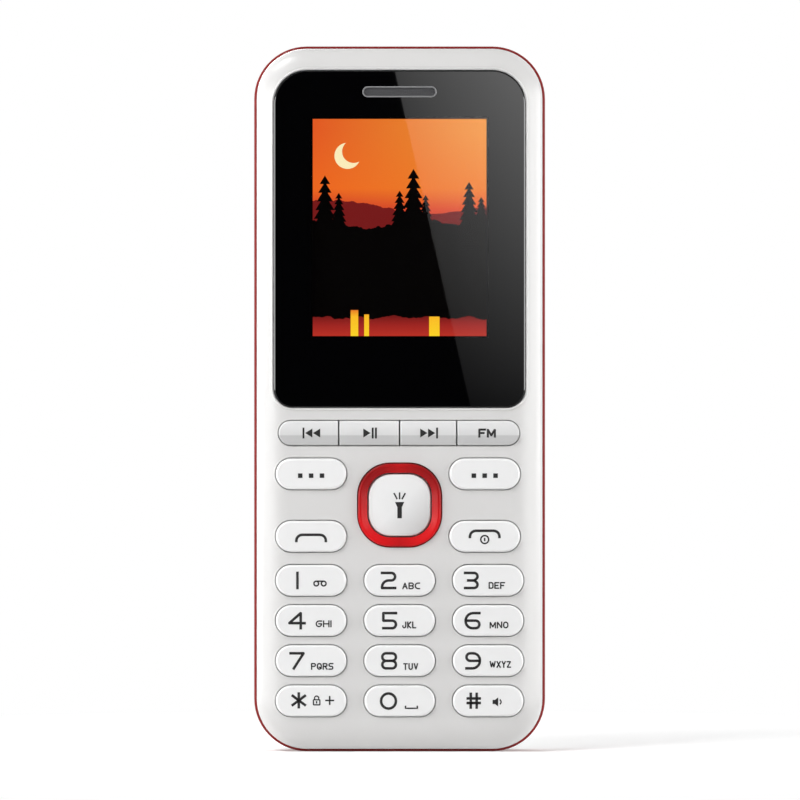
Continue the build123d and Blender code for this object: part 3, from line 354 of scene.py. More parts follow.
# %% Inner plastics, foams and lamps
case_black = finish("black moulded plastic", (34, 34, 36), 0.42, 0.15, 0.004, 0.03)
glass_dark = finish("coated lens", (12, 8, 22), 0.04, 2.0, 0.0002, 0.01, Coat_Weight=1.0)
dress(
    case_black, "processor", "microphone", "audio_jack", "camera_module", "antenna_carrier",
    "earpiece_speaker", "loudspeaker",
)
dress(finish("matte grey shell", (196, 197, 198), 0.55, 0.12, 0.006, 0.02), "rear_housing")
dress(finish("closed foam", (46, 46, 46), 0.9, 0.2, 0.02, 0.06), "display_gasket", "window_tape")
dress(finish("translucent silicone", (228, 228, 222), 0.5, 0.3, 0.004, 0.02), "keymat")
dress(finish("white reflector tray", (232, 232, 230), 0.6, 0.3, 0.003, 0.01), "backlight_tray")
dress(finish("amber film", (176, 104, 48), 0.35, 0.3, 0.002, 0.05), "display_ribbon")
dress(finish("lamp resin", (240, 226, 160), 0.3, 0.2, 0.002, 0.03), "keypad_leds", "torch_led")
lens_clear = finish("frosted lens", (232, 236, 238), 0.15, 0.3, 0.001, 0.01, Coat_Weight=0.5)
dress(lens_clear, "torch_lens")

# %% [markdown]
# Brushed metal is a noise pulled out along one direction. A Mapping node stretches the place on the
# piece before the noise reads it, so the scratches run along Z.


# %% Brushed metals
def brushed(name, color, roughness, across_mm=0.08, along_mm=6.0):
    """Metal with fine parallel scratches along Z."""
    material = finish(name, color, roughness, Metallic=1.0)
    tree = material.node_tree
    pulled = {"Vector": object_place(tree), "Scale": (1, 1, across_mm / along_mm)}
    scratches = noise(flow(tree, "ShaderNodeMapping", pulled), across_mm, 1.0)
    bump = next(node for node in tree.nodes if node.bl_idname == "ShaderNodeBump")
    scratches.into(bump.inputs["Height"])
    return material


dark_wire = brushed("dark wire", (96, 96, 98), 0.4)
dress(dark_wire, "earpiece_mesh", "speaker_mesh")
dress(
    brushed("brushed steel", (196, 196, 194), 0.32), "nav_stiffener", "key_domes", "shield_can",
    "sim_sockets", "memory_card_socket", "usb_socket", "housing_screws", "vibration_motor",
    "vibration_weight",
)
dress(brushed("satin bezel", (190, 191, 194), 0.28), "camera_bezel")
dress(brushed("copper foil", (214, 158, 96), 0.34), "antenna")


# %% [markdown]
# Masks paint one piece in two finishes, such as gold contacts on a black block. A mask is a box in
# metres: inside it the value is 1, outside 0. It is made of the place on the piece alone, so it stays
# put on the piece in every view.


# %% Masks from boxes
def inside(tree, low, high):
    """1 within the box from low to high, in metres, and 0 elsewhere."""
    masks = [
        abs(axis - (lowest + highest) / 2) < (highest - lowest) / 2
        for axis, lowest, highest in zip(axes_of(object_place(tree)), low, high)
    ]
    return masks[0] * (masks[1] * masks[2])


def around(tree, middle, radius):
    """1 within a round column that runs from front to back, and 0 elsewhere."""
    x, _, z = axes_of(object_place(tree))
    across = x - middle.x
    along = z - middle.z
    return along * along + across * across < radius**2


def overlay(material, mask, color, roughness, metallic=None):
    """Paints another colour, and its gloss, over a finish where the mask is 1."""
    sockets = material.node_tree.nodes["Principled BSDF"].inputs
    under = Value(sockets["Base Color"].links[0].from_socket)
    blended(mask, under, tint(*color)).into(sockets["Base Color"])
    for name, value in (("Roughness", roughness), ("Metallic", metallic)):
        if value is None:
            continue
        links = sockets[name].links
        under = Value(links[0].from_socket) if links else sockets[name].default_value
        (mask * value + (1.0 - mask) * under).into(sockets[name])


# %% [markdown]
# The lit screen is the panel's own front. Its picture is made of sums, with a plain landscape: an
# orange sky that reddens downwards, a far ridge, pointed trees in black and a red strip at the bottom
# with a few lit marks. It is given off as light, so it keeps its colours in any lamp light. Places in
# it are shares of the screen, from its lower left corner.

# %% Screen picture
SCREEN_WIDTH = 28.03 * MM
SCREEN_HEIGHT = 35.04 * MM
SCREEN_DROP = 7.74 * MM
window_low, window_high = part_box("display_window")
screen_top_z = window_high.z - SCREEN_DROP
screen_bottom_z = screen_top_z - SCREEN_HEIGHT
half_x = SCREEN_WIDTH / 2

panel = bpy.data.materials.new("lit panel")
panel.use_nodes = True
tree = panel.node_tree
panel_shader = tree.nodes["Principled BSDF"]
panel_shader.inputs["Base Color"].default_value = tint(4, 4, 4)
panel_shader.inputs["Specular IOR Level"].default_value = 0.0
panel_shader.inputs["Emission Strength"].default_value = 1.0
x, _, z = axes_of(object_place(tree))
across = x * (1 / SCREEN_WIDTH) + 0.5
height = (z - screen_bottom_z) / SCREEN_HEIGHT


def ramp(value, *steps):
    """Colours that blend into one another as a value rises."""
    node = put(value.tree, "ShaderNodeValToRGB", {"Fac": value})
    elements = node.color_ramp.elements
    for _ in steps[2:]:
        elements.new(0.5)
    for element, (position, color) in zip(elements, steps):
        element.position = position
        element.color = tint(*color)
    return Value(node.outputs["Color"])


BUSH_SCALE = 22.0
BUSH_DETAIL = 3.0
BRANCH_ROWS = 6
BRANCH_SPREAD = 0.55
TREE_FOOT = 0.5


def hills(level, swing, waves, phase, roughness):
    """1 below a skyline that swings across the picture and is ragged by small bushes."""
    rolling = sums("SINE", across * waves + phase) * swing + level
    growth = {"Vector": point(tree, across, level), "Scale": BUSH_SCALE, "Detail": BUSH_DETAIL}
    return height < flow(tree, "ShaderNodeTexNoise", growth) * roughness + rolling


def fir_tree(middle, top, half_width):
    """A pointed tree whose sides step in and out as its branches do."""
    tall = top - TREE_FOOT
    from_top = top - height
    branches = from_top % (tall / BRANCH_ROWS)
    width = branches * BRANCH_SPREAD + from_top * (half_width / tall)
    return (abs(across - middle) < width) * (height < top)


def disc(middle, level, radius):
    """A round spot, 1 inside."""
    side = across - middle
    rise = (height - level) * (SCREEN_HEIGHT / SCREEN_WIDTH)
    return side * side + rise * rise < radius**2


def lit_mark(middle, half_width, top):
    """An upright lit mark that stands on the bottom edge."""
    return (abs(across - middle) < half_width) * (height < top)


BLACK = tint(1, 0, 0)
SKY = [(0.5, (176, 38, 40)), (0.58, (208, 54, 40)), (0.68, (240, 104, 32)), (0.95, (229, 91, 36))]
WARM_SKY = [(0.5, (196, 54, 44)), (0.58, (226, 84, 44)), (0.68, (240, 132, 44)), (0.95, (240, 150, 52))]
FIR_TREES = [
    (0.07, 0.74, 0.05), (0.15, 0.66, 0.035), (0.5, 0.67, 0.04), (0.58, 0.77, 0.055), (0.65, 0.65, 0.035),
    (0.9, 0.71, 0.045), (0.97, 0.64, 0.04),
]
STRIP = [(0.0, (186, 50, 38)), (0.05, (160, 38, 34)), (0.11, (84, 18, 18))]
MARK_LIGHT = [(0.0, (255, 214, 40)), (0.09, (255, 190, 40)), (0.13, (226, 84, 40))]
LIT_MARKS = [(0.24, 0.022, 0.12), (0.31, 0.014, 0.1), (0.7, 0.03, 0.09)]
crescent = sums("MAXIMUM", disc(0.2, 0.83, 0.075) - disc(0.235, 0.85, 0.066), 0.0)
picture = blended(across, ramp(height, *SKY), ramp(height, *WARM_SKY))
picture = blended(crescent, picture, tint(255, 240, 190))
picture = blended(hills(0.58, 0.03, 5.2, 1.1, 0.03), picture, tint(118, 26, 26))
picture = blended(hills(0.49, 0.016, 9.0, 2.0, 0.05), picture, BLACK)
for fir in FIR_TREES:
    picture = blended(fir_tree(*fir), picture, BLACK)
picture = blended(hills(0.07, 0.006, 30.0, 0.0, 0.03), picture, ramp(height, *STRIP))
for mark in LIT_MARKS:
    picture = blended(lit_mark(*mark), picture, ramp(height, *MARK_LIGHT))
lit = inside(tree, (-half_x, -1, screen_bottom_z), (half_x, 1, screen_top_z))
blended(lit, tint(0, 0, 0), picture).into(panel_shader.inputs["Emission Color"])
dress(panel, "display_panel")

# %% [markdown]
# The display window and the camera window are clear sheets, painted black from behind and left clear
# over the screen and the lens. So each has two finishes: black gloss, and a clear gloss that shows what
# lies behind and still mirrors the lamps. A Fresnel node mixes the clear part from see-through and
# mirror, on the outer face alone, since a sheet without thickness to its light has no inner mirror.

# %% Windows
GLASS_ROUGHNESS = 0.008
GLASS_IOR = 1.5
CLEAR_MARGIN = 0.25 * MM
LENS_OPENING = 2.2 * MM


def mixed(share, first, second):
    """Two surfaces mixed, by a share from 0 to 1 of the second."""
    return flow(share.tree, "ShaderNodeMixShader", {0: share, 1: first, 2: second})


def show(material, surface):
    """Makes this surface the one that the material shows."""
    surface.into(material.node_tree.nodes["Material Output"].inputs["Surface"])


def pane(name, is_clear):
    """A sheet that is black gloss, and see-through gloss where is_clear gives 1."""
    material = finish(name, (1, 1, 2), GLASS_ROUGHNESS, 6.0, 0.0001, 0.0)
    tree = material.node_tree
    black = Value(tree.nodes["Principled BSDF"].outputs[0])
    outer = 1.0 - flow(tree, "ShaderNodeNewGeometry", output="Backfacing")
    gloss = outer * flow(tree, "ShaderNodeFresnel", {"IOR": GLASS_IOR})
    polish = {"Roughness": GLASS_ROUGHNESS, "Color": (1, 1, 1, 1)}
    mirror = flow(tree, "ShaderNodeBsdfAnisotropic", polish)
    clear = mixed(gloss, flow(tree, "ShaderNodeBsdfTransparent"), mirror)
    show(material, mixed(is_clear(tree), black, clear))
    return material


def over_screen(tree):
    """1 over the lit screen and a thin margin."""
    low = (-half_x - CLEAR_MARGIN, -1, screen_bottom_z - CLEAR_MARGIN)
    high = (half_x + CLEAR_MARGIN, 1, screen_top_z + CLEAR_MARGIN)
    return inside(tree, low, high)


camera_low, camera_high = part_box("camera_window")
lens_middle = (camera_low + camera_high) / 2


def over_lens(tree):
    """1 over the camera's lens."""
    return around(tree, lens_middle, LENS_OPENING)


dress(pane("display window", over_screen), "display_window")
dress(pane("camera window", over_lens), "camera_window")

# %% [markdown]
# The circuit board is green lacquer over copper tracks, and the battery is a black pouch in a wrapped
# label with plain stripes and gold contacts. Both are painted by masks and regular patterns.

# %% Board and battery
TRACK_PITCH = 1.6 * MM
TRACK_GAP = 0.12 * MM
board_green = finish("green board lacquer", (28, 104, 62), 0.35, 0.3, 0.003, 0.04)
tree = board_green.node_tree
upright = {"Vector": object_place(tree), "Rotation": (math.radians(90), 0, 0)}
bricks = {"Vector": flow(tree, "ShaderNodeMapping", upright), "Scale": 1.0}
bricks.update({"Brick Width": 4 * TRACK_PITCH, "Row Height": TRACK_PITCH, "Mortar Size": TRACK_GAP})
overlay(board_green, flow(tree, "ShaderNodeTexBrick", bricks, "Fac"), (58, 142, 84), 0.3)
dress(board_green, "main_board")

LABEL_MARGIN = 3.0 * MM
STRIPE_HEIGHT = 2.4 * MM
CONTACT_HEIGHT = 0.5 * MM
CONTACT_HALF_WIDTH = 4.0 * MM
CONTACT_INSET = 1.5 * MM
SPRING_REACH = 0.3 * MM
GOLD = (226, 178, 92)
battery_low, battery_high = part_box("battery")
label_low = battery_low.z + 3 * LABEL_MARGIN
label_high = battery_high.z - LABEL_MARGIN
label_half = (battery_high.x - battery_low.x) / 2 - LABEL_MARGIN
battery_case = finish("battery wrap", (38, 38, 42), 0.45, 0.3, 0.003, 0.03)
for low_z, high_z, color in (
    (label_low, label_high, (206, 208, 210)),
    (label_high - 2 * STRIPE_HEIGHT, label_high - STRIPE_HEIGHT, (176, 44, 44)),
    (label_low + STRIPE_HEIGHT, label_low + 2 * STRIPE_HEIGHT, (96, 98, 102)),
):
    area = inside(battery_case.node_tree, (-label_half, -1, low_z), (label_half, 1, high_z))
    overlay(battery_case, area, color, 0.35)
contacts = inside(
    battery_case.node_tree,
    (-CONTACT_HALF_WIDTH, battery_low.y + CONTACT_INSET, battery_low.z - CONTACT_HEIGHT),
    (CONTACT_HALF_WIDTH, battery_high.y - CONTACT_INSET, battery_low.z + CONTACT_HEIGHT),
)
overlay(battery_case, contacts, GOLD, 0.25, 1.0)
dress(battery_case, "battery")

connector_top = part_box("battery_connector")[1].z
connector = finish("black block, gold springs", (34, 34, 36), 0.42, 0.15, 0.004, 0.03)
springs = (-1, -1, connector_top - SPRING_REACH), (1, 1, connector_top + SPRING_REACH)
overlay(connector, inside(connector.node_tree, *springs), GOLD, 0.25, 1.0)
dress(connector, "battery_connector")

# %% [markdown]
# Legends on real keys are printed ink a few hundredths of a millimetre thick. Here each legend starts
# as a drawing of single lines and small flat shapes. A Geometry Nodes tree turns the lines into round-
# cornered strokes, thickens the flat shapes, and lays both on the key or on the battery's label: for
# every point it casts a ray and moves the point to where the ray lands. So ink follows flat and domed
# surfaces alike.

# %% Lay ink on a surface with Geometry Nodes
INK_THICKNESS = 0.025 * MM
INK_SINK = 0.004 * MM
INK_ARC_POINTS = 5
LINE_CUTS = 3
STROKE_DEPTH = 0.1
FLAT_LEVELS = 3
RAY_REACH = 60 * MM
FRONT = -1.0
BACK = 1.0


def new_tree(name, *inputs):
    """A Geometry Nodes tree from geometry to geometry, and what enters it by name."""
    tree = bpy.data.node_groups.new(name, "GeometryNodeTree")
    for label, kind in (("Geometry", "Geometry"), *inputs):
        tree.interface.new_socket(label, in_out="INPUT", socket_type=f"NodeSocket{kind}")
    tree.interface.new_socket("Geometry", in_out="OUTPUT", socket_type="NodeSocketGeometry")
    return tree, {socket.name: Value(socket) for socket in tree.nodes.new("NodeGroupInput").outputs}


def joined(*parts):
    """Several geometries as one."""
    node = put(parts[0].tree, "GeometryNodeJoinGeometry")
    for part in parts:
        part.into(node.inputs[0])
    return Value(node.outputs[0])


def stored(tree, name):
    """A number stored on each point of the drawing."""
    inputs = {"Name": name}
    return flow(tree, "GeometryNodeInputNamedAttribute", inputs, "Attribute", data_type="FLOAT")


def position(tree):
    """The X, Y and Z of each point."""
    return axes_of(flow(tree, "GeometryNodeInputPosition"))


def landing_y(target, side, x, z):
    """The depth at which a ray from the front or the back of the phone lands on the target at x, z."""
    tree = target.tree
    info = {"Object": target}
    shape = flow(tree, "GeometryNodeObjectInfo", info, "Geometry", transform_space="RELATIVE")
    aim = {"Target Geometry": shape, "Source Position": point(tree, x, side * RAY_REACH, z)}
    aim.update({"Ray Direction": point(tree, y=side * -1.0), "Ray Length": 2 * RAY_REACH})
    return axes_of(flow(tree, "GeometryNodeRaycast", aim, "Hit Position"))[1]


def as_curves(lines, arc_points):
    """The drawing's single lines as curves, with the corners rounded by the number stored as bend."""
    rounding = {"Count": arc_points, "Radius": stored(lines.tree, "bend"), "Limit Radius": True}
    return lines.step("MeshToCurve").step("FilletCurve", rounding, mode="POLY")


def finished(geometry, material):
    """The end of each tree: real geometry in one material."""
    inked = geometry.step("RealizeInstances").step("SetMaterial", {"Material": material})
    inked.into(inked.tree.nodes.new("NodeGroupOutput").inputs["Geometry"])


ink_tree, given = new_tree(
    "ink", ("Target", "Object"), ("Ink", "Material"), ("Thickness", "Float"), ("Side", "Float")
)
no_faces = {"A": flow(ink_tree, "GeometryNodeInputMeshEdgeNeighbors"), "B": 0}
is_line = flow(ink_tree, "FunctionNodeCompare", no_faces, data_type="INT", operation="EQUAL")
chosen = {"Geometry": given["Geometry"], "Selection": is_line}
parted = put(ink_tree, "GeometryNodeSeparateGeometry", chosen, domain="EDGE")
lines, flats = map(Value, parted.outputs)
lines = as_curves(lines, INK_ARC_POINTS).step("SubdivideCurve", {"Cuts": LINE_CUTS})
section = flow(ink_tree, "GeometryNodeCurvePrimitiveQuadrilateral", {"Width": 1.0, "Height": STROKE_DEPTH})
swept = {"Profile Curve": section, "Scale": stored(ink_tree, "pen"), "Fill Caps": True}
strokes = lines.step("SetCurveNormal", mode="Z_UP").step("CurveToMesh", swept)

# %% [markdown]
# The strokes are swept flat along their lines, and the flat shapes get a second face above them. Then
# every point finds the surface under it. Points above the drawing plane end up on top of the ink, and
# the others a few thousandths of a millimetre inside the surface, so the ink has no gap under it.

# %% Thicken the flat shapes, and land everything
flats = flats.step("SubdivideMesh", {"Level": FLAT_LEVELS})
raised = {"Offset Scale": given["Thickness"], "Individual": False}
block = joined(flats.step("ExtrudeMesh", raised), flats.step("FlipFaces"))
block = block.step("MergeByDistance", {"Distance": INK_SINK / 10})
across, up, above = position(ink_tree)
surface_y = landing_y(given["Target"], given["Side"], across, up)
ink_rise = (above > INK_SINK / 10) * (given["Thickness"] + INK_SINK) - INK_SINK
landed = point(ink_tree, across, ink_rise * given["Side"] + surface_y, up)
finished(joined(strokes, block).step("SetPosition", {"Position": landed}), given["Ink"])
print("ink tree:", len(ink_tree.nodes), "nodes")


# %% Run a tree and keep a plain mesh
def plain_mesh(name, mesh, tree, **inputs):
    """Runs a tree on a mesh and returns the result as a plain mesh object without the modifier."""
    source = add_object(f"{name}_drawing", mesh)
    modifier = source.modifiers.new("tree", "NODES")
    modifier.node_group = tree
    for item in tree.interface.items_tree:
        if item.in_out == "INPUT" and item.name in inputs:
            modifier[item.identifier] = inputs[item.name]
    evaluated = source.evaluated_get(bpy.context.evaluated_depsgraph_get())
    made = add_object(name, bpy.data.meshes.new_from_object(evaluated))
    bpy.data.objects.remove(source)
    return made


# %% [markdown]
# The drawings themselves come next. Every character is a few lines on a lattice of five columns and
# seven rows, written as pairs of digits: "00 06" is a line from the lower left corner to the upper
# left. Corners are round, as wide keypad letters have them, and a dot after a pair makes it sharp.

# %% Characters on a lattice
CHARACTERS = {
    "0": "00 40 46 06 00", "1": "20 26", "2": "06 46 43 03 00. 40", "3": "06 46 44 33. 13,33. 42 40 00",
    "4": "30 36. 02. 42", "5": "46 06. 03. 43 40 00", "6": "46 06 00 40 43 03", "7": "06 46. 10",
    "8": "03 43 46 06 03,03 43 40 00 03", "9": "43 03 06 46 40 00",
    "*": "20 26,01 45,05 41", "#": "10 16,30 36,02 42,04 44", "-": "13 33", ".": "20 21", " ": "",
    "A": "00 26. 40,12 32", "B": "03. 43 46 06. 03.,03. 43 40 00. 03.", "C": "46 06 00 40",
    "D": "00. 06. 36 45 41 30 00.", "E": "46 06. 00. 40,03 33", "F": "46 06. 00,03 33",
    "G": "46 06 00 40 43. 23", "H": "00 06,40 46,03 43", "I": "20 26", "J": "46 40 00 02",
    "K": "00 06,46 03. 40", "L": "06 00. 40", "M": "00 06. 21. 46. 40", "N": "00 06. 40. 46",
    "O": "00 40 46 06 00", "P": "00 06. 46 43 03", "Q": "00 40 46 06 00,22 41",
    "R": "00 06. 46 43 03,23 40", "S": "46 06 03 43 40 00", "T": "06 46,26 20", "U": "06 00 40 46",
    "V": "06 20. 46", "W": "06 10. 25. 30. 46", "X": "00 46,06 40", "Y": "06 23. 46,23 20",
    "Z": "06 46. 00. 40",
}
COLUMNS = 4
ROWS = 6
NARROW = "1I."
BROAD = {"M": 1.25, "W": 1.6}
ROUND_SHARE = 0.42
SHARP_BEND = 0.02
LETTER_GAP = 0.12


def past_end(end, before, pen):
    """An end of a stroke, moved on by half the pen's width, which makes the stroke's end square."""
    run = math.hypot(end[0] - before[0], end[1] - before[1])
    return tuple(at + (at - last) / run * pen / 2 for at, last in zip(end, before))


def width_share(character):
    """How wide a character is beside the others. The narrow ones have no width but the pen's."""
    return 0 if character in NARROW else BROAD.get(character, 1)


def text_lines(text, left, right, middle_z, height, pen):
    """The strokes of a word between two edges and about a middle height, in mm."""
    shares = sum(width_share(character) for character in text)
    spare = right - left - pen - (len(text) - 1) * (LETTER_GAP + pen)
    low = middle_z - (height - pen) / 2
    start = left + pen / 2
    strokes = []
    for character in text:
        width = spare * width_share(character) / max(shares, 1)
        for line in filter(None, CHARACTERS[character].split(",")):
            points = []
            bends = []
            for pair in line.split():
                across, up = int(pair[0]) / COLUMNS, int(pair[1]) / ROWS
                points.append((start + across * width, low + up * (height - pen)))
                bends.append(SHARP_BEND if pair.endswith(".") else ROUND_SHARE * height)
            if points[0] != points[-1]:
                first = past_end(points[0], points[1], pen)
                points[-1] = past_end(points[-1], points[-2], pen)
                points[0] = first
            strokes.append(stroke(points, pen, bends))
        start += width + LETTER_GAP + pen
    return strokes


THIN = 0.24


def stroke(points, pen=THIN, bend=0.0):
    """A line with round corners of that bend."""
    return ("line", points, pen, bend)


def ring(x, z, radius, count=20):
    """A circle as a closed line."""
    turns = [2 * math.pi * step / count for step in range(count)]
    circle = [(x + radius * math.cos(turn), z + radius * math.sin(turn)) for turn in turns]
    return stroke(circle + circle[:1])


def flat(points):
    """A flat shape inside these points."""
    return ("flat", points, 0, 0)


def bar(left, low, width, height):
    """A flat upright rectangle."""
    right, high = left + width, low + height
    return flat([(left, low), (right, low), (right, high), (left, high)])


# %% [markdown]
# Each key then gets its own drawing, in millimetres from the middle of its cap: a figure on the left
# and small letters on the right for the number keys, and plain signs for the rest.

# %% What each key says
FIGURE_HEIGHT = 2.85
FIGURE_PEN = 0.42
LETTER_HEIGHT = 1.1
LETTER_PEN = 0.21
NUMBER_KEYS = [
    ("1", -2.41, -1.92, "", 0, 0, 0), ("2", -3.04, -0.52, "ABC", 0.42, 3.3, -0.87),
    ("3", -3.91, -1.5, "DEF", 0.07, 2.73, -0.8), ("4", -3.74, -0.84, "GHI", 0.73, 3.3, -0.51),
    ("5", -2.83, -0.38, "JKL", 0.42, 2.67, -0.7), ("6", -3.83, -1.2, "MNO", 0.23, 3.28, -0.7),
    ("7", -3.51, -1.01, "PQRS", -0.02, 3.6, -0.89), ("8", -3.0, -0.38, "TUV", 0.58, 2.99, -0.92),
    ("9", -3.7, -1.12, "WXYZ", 0.23, 3.69, -0.58), ("0", -3.2, -0.38, "", 0, 0, 0),
]
drawings = {}
for figure, left, right, letters, letters_left, letters_right, letters_z in NUMBER_KEYS:
    marks = text_lines(figure, left, right, 0.0, FIGURE_HEIGHT, FIGURE_PEN)
    if letters:
        marks += text_lines(letters, letters_left, letters_right, letters_z, LETTER_HEIGHT, LETTER_PEN)
    drawings[f"key_{figure}"] = marks
LOCK = 0.2
REELS = [ring(0.83, -0.5, 0.38), ring(2.03, -0.5, 0.38), stroke([(0.83, -0.12), (2.03, -0.12)])]
drawings["key_1"] += REELS
drawings["key_star"] = text_lines("*", -3.16, -0.8, 0.1, 2.6, FIGURE_PEN) + [
    stroke([(0.37, -0.62), (1.41, -0.62), (1.41, 0.2), (0.37, 0.2), (0.37, -0.62)], LOCK, 0.1),
    stroke([(0.55, 0.2), (0.55, 0.8), (1.23, 0.8), (1.23, 0.2)], LOCK, 0.34),
    bar(0.79, -0.4, 0.2, 0.4),
    stroke([(2.27, 0.09), (3.71, 0.09)]),
    stroke([(2.99, -0.63), (2.99, 0.81)]),
]
drawings["key_0"] += [stroke([(0.95, -0.75), (0.95, -1.17), (2.85, -1.17), (2.85, -0.75)])]
HORN = [(0.72, -0.48), (1.1, -0.48), (1.62, -0.88), (1.62, 0.58), (1.1, 0.18), (0.72, 0.18)]
drawings["key_hash"] = text_lines("#", -3.48, -1.15, 0.05, 2.62, FIGURE_PEN) + [
    flat(HORN),
    stroke([(1.9, -0.55), (2.14, -0.15), (1.9, 0.25)], LOCK, 0.3),
]
DOT = 0.73
DOT_STEP = 1.75
DOT_Z = 0.28
for key in ("key_soft_left", "key_soft_right"):
    drawings[key] = [
        bar(step * DOT_STEP - DOT / 2, -DOT_Z - DOT / 2, DOT, DOT) for step in (-1, 0, 1)
    ]
HANDSET = [(-2.38, -0.95), (-2.38, 0.25), (2.38, 0.25), (2.38, -0.95)]
HANDSET_PEN = 0.42
HANDSET_BEND = 0.95
drawings["key_call"] = [stroke(HANDSET, HANDSET_PEN, HANDSET_BEND)]
HANDSET_RISE = 0.65
raised_handset = [(x, z + HANDSET_RISE) for x, z in HANDSET]
drawings["key_end"] = [
    stroke(raised_handset, HANDSET_PEN, HANDSET_BEND),
    ring(0, -0.51, 0.64),
    stroke([(0, -0.78), (0, -0.24)]),
]
ARROW_LENGTH = 1.16
ARROW_HALF = 0.72
BAR_WIDTH = 0.3
BAR_HEIGHT = 1.75


def arrow(tip_x, side):
    """A flat triangle whose tip points to side, 1 for right and -1 for left."""
    foot = tip_x - side * ARROW_LENGTH
    return flat([(tip_x, 0), (foot, side * ARROW_HALF), (foot, -side * ARROW_HALF)])


def strip_bar(left):
    """An upright bar of a music sign."""
    return bar(left, -BAR_HEIGHT / 2, BAR_WIDTH, BAR_HEIGHT)


drawings["key_previous"] = [strip_bar(-0.7), arrow(-0.28, -1), arrow(0.98, -1)]
drawings["key_play_pause"] = [arrow(0.22, 1), strip_bar(0.42), strip_bar(0.94)]
drawings["key_next"] = [arrow(-0.12, 1), arrow(1.14, 1), strip_bar(1.28)]
drawings["key_radio"] = text_lines("FM", -1.85, 0.97, 0.0, 1.45, 0.33)
TORCH_HEAD = [(-0.36, -0.35), (0.36, -0.35), (0.74, 0.5), (-0.74, 0.5)]
TORCH_RAYS = [[(0, 0.95), (0, 2.05)], [(-0.38, 0.95), (-0.92, 1.95)], [(0.38, 0.95), (0.92, 1.95)]]
drawings["key_center"] = [flat(TORCH_HEAD), bar(-0.36, -2.12, 0.72, 1.78), *map(stroke, TORCH_RAYS)]
print(len(drawings), "drawings")


# %% Print the keys
def drawing_mesh(name, marks, middle_x, middle_z):
    """A mesh of single lines and flat faces, with the pen's width and the bend on each point."""
    points, edges, faces, pens, bends = [], [], [], [], []
    for kind, places, pen, bend in marks:
        closed = kind == "line" and places[0] == places[-1]
        first = len(points)
        kept = places[:-1] if closed else places
        kept_bends = bend if isinstance(bend, list) else [bend] * len(kept)
        for (x, z), kept_bend in zip(kept, kept_bends):
            points.append((middle_x + x * MM, middle_z + z * MM, 0))
            pens.append(pen * MM)
            bends.append(kept_bend * MM)
        last = len(points) - 1
        if kind == "flat":
            faces.append(range(first, last + 1))
        else:
            edges += [(step, step + 1) for step in range(first, last)]
            if closed:
                edges.append((last, first))
    mesh = bpy.data.meshes.new(name)
    mesh.from_pydata(points, edges, faces)
    for label, values in (("pen", pens), ("bend", bends)):
        mesh.attributes.new(label, "FLOAT", "POINT").data.foreach_set("value", values)
    return mesh


key_ink = finish("black key ink", (36, 35, 35), 0.45, 0.2, 0.001, 0.02, Specular_IOR_Level=0.2)
for key, marks in drawings.items():
    low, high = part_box(key)
    mesh = drawing_mesh(key, marks, (low.x + high.x) / 2, (low.z + high.z) / 2)
    legend = plain_mesh(
        key.replace("key", "legend"), mesh, ink_tree, Target=nodes[key], Ink=key_ink,
        Thickness=INK_THICKNESS, Side=FRONT,
    )
    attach(legend, key)
    print(legend.name, len(legend.data.polygons), "faces")

# %% [markdown]
# The battery's label carries a few plain words, laid on by the same tree from the back. Seen from
# behind, left and right change places, so the drawing is mirrored and its faces turned round.

# %% Words on the battery
battery_middle = (battery_low + battery_high) / 2
WORDS = [
    ("LI-ION BATTERY", 11.0, 9.0, 2.4, 0.34),
    ("3.7 V  1000 MAH", 9.0, 4.6, 1.8, 0.24),
    ("3.7 WH", 3.8, 1.4, 1.8, 0.24),
]
marks = []
for words, half_length, rise, letter_height, pen in WORDS:
    marks += text_lines(words, -half_length, half_length, rise, letter_height, pen)
mirrored = [(kind, [(-x, z) for x, z in places], pen, bend) for kind, places, pen, bend in marks]
mesh = drawing_mesh("battery_words", mirrored, battery_middle.x, battery_middle.z)
battery_words = plain_mesh(
    "battery_words", mesh, ink_tree, Target=nodes["battery"], Ink=key_ink, Thickness=INK_THICKNESS,
    Side=BACK,
)
battery_words.data.flip_normals()
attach(battery_words, "battery")
print("battery_words:", len(battery_words.data.polygons), "faces")

# %% [markdown]
# A second small tree lays a thin round bead along a line on a surface. It makes the fine white lip of
# the shell round the display window, which shows as a thin light line in the photograph.

# %% Bead on a surface
POINT_STEP = 0.4 * MM
LIP_ARC_POINTS = 24
BEAD_CORNERS = 8
LIP_RADIUS = 0.16
LIP_AWAY = 0.3
WINDOW_TOP_CORNER = 5.4
WINDOW_BOTTOM_CORNER = 3.0


def round_section(corners, radius):
    """A circle with this many corners, to sweep along a line."""
    inputs = {"Resolution": corners, "Radius": radius}
    return flow(radius.tree, "GeometryNodeCurvePrimitiveCircle", inputs, mode="RADIUS")


bead_tree, given = new_tree("bead", ("Target", "Object"), ("Plastic", "Material"), ("Radius", "Float"))
line = as_curves(given["Geometry"], LIP_ARC_POINTS)
line = line.step("ResampleCurve", {"Length": POINT_STEP}, mode="LENGTH")
across, up, _ = position(bead_tree)
landed = point(bead_tree, across, landing_y(given["Target"], FRONT, across, up), up)
line = line.step("SetPosition", {"Position": landed})
bead = line.step("CurveToMesh", {"Profile Curve": round_section(BEAD_CORNERS, given["Radius"])})
finished(bead.step("SetShadeSmooth", {"Shade Smooth": True}), given["Plastic"])

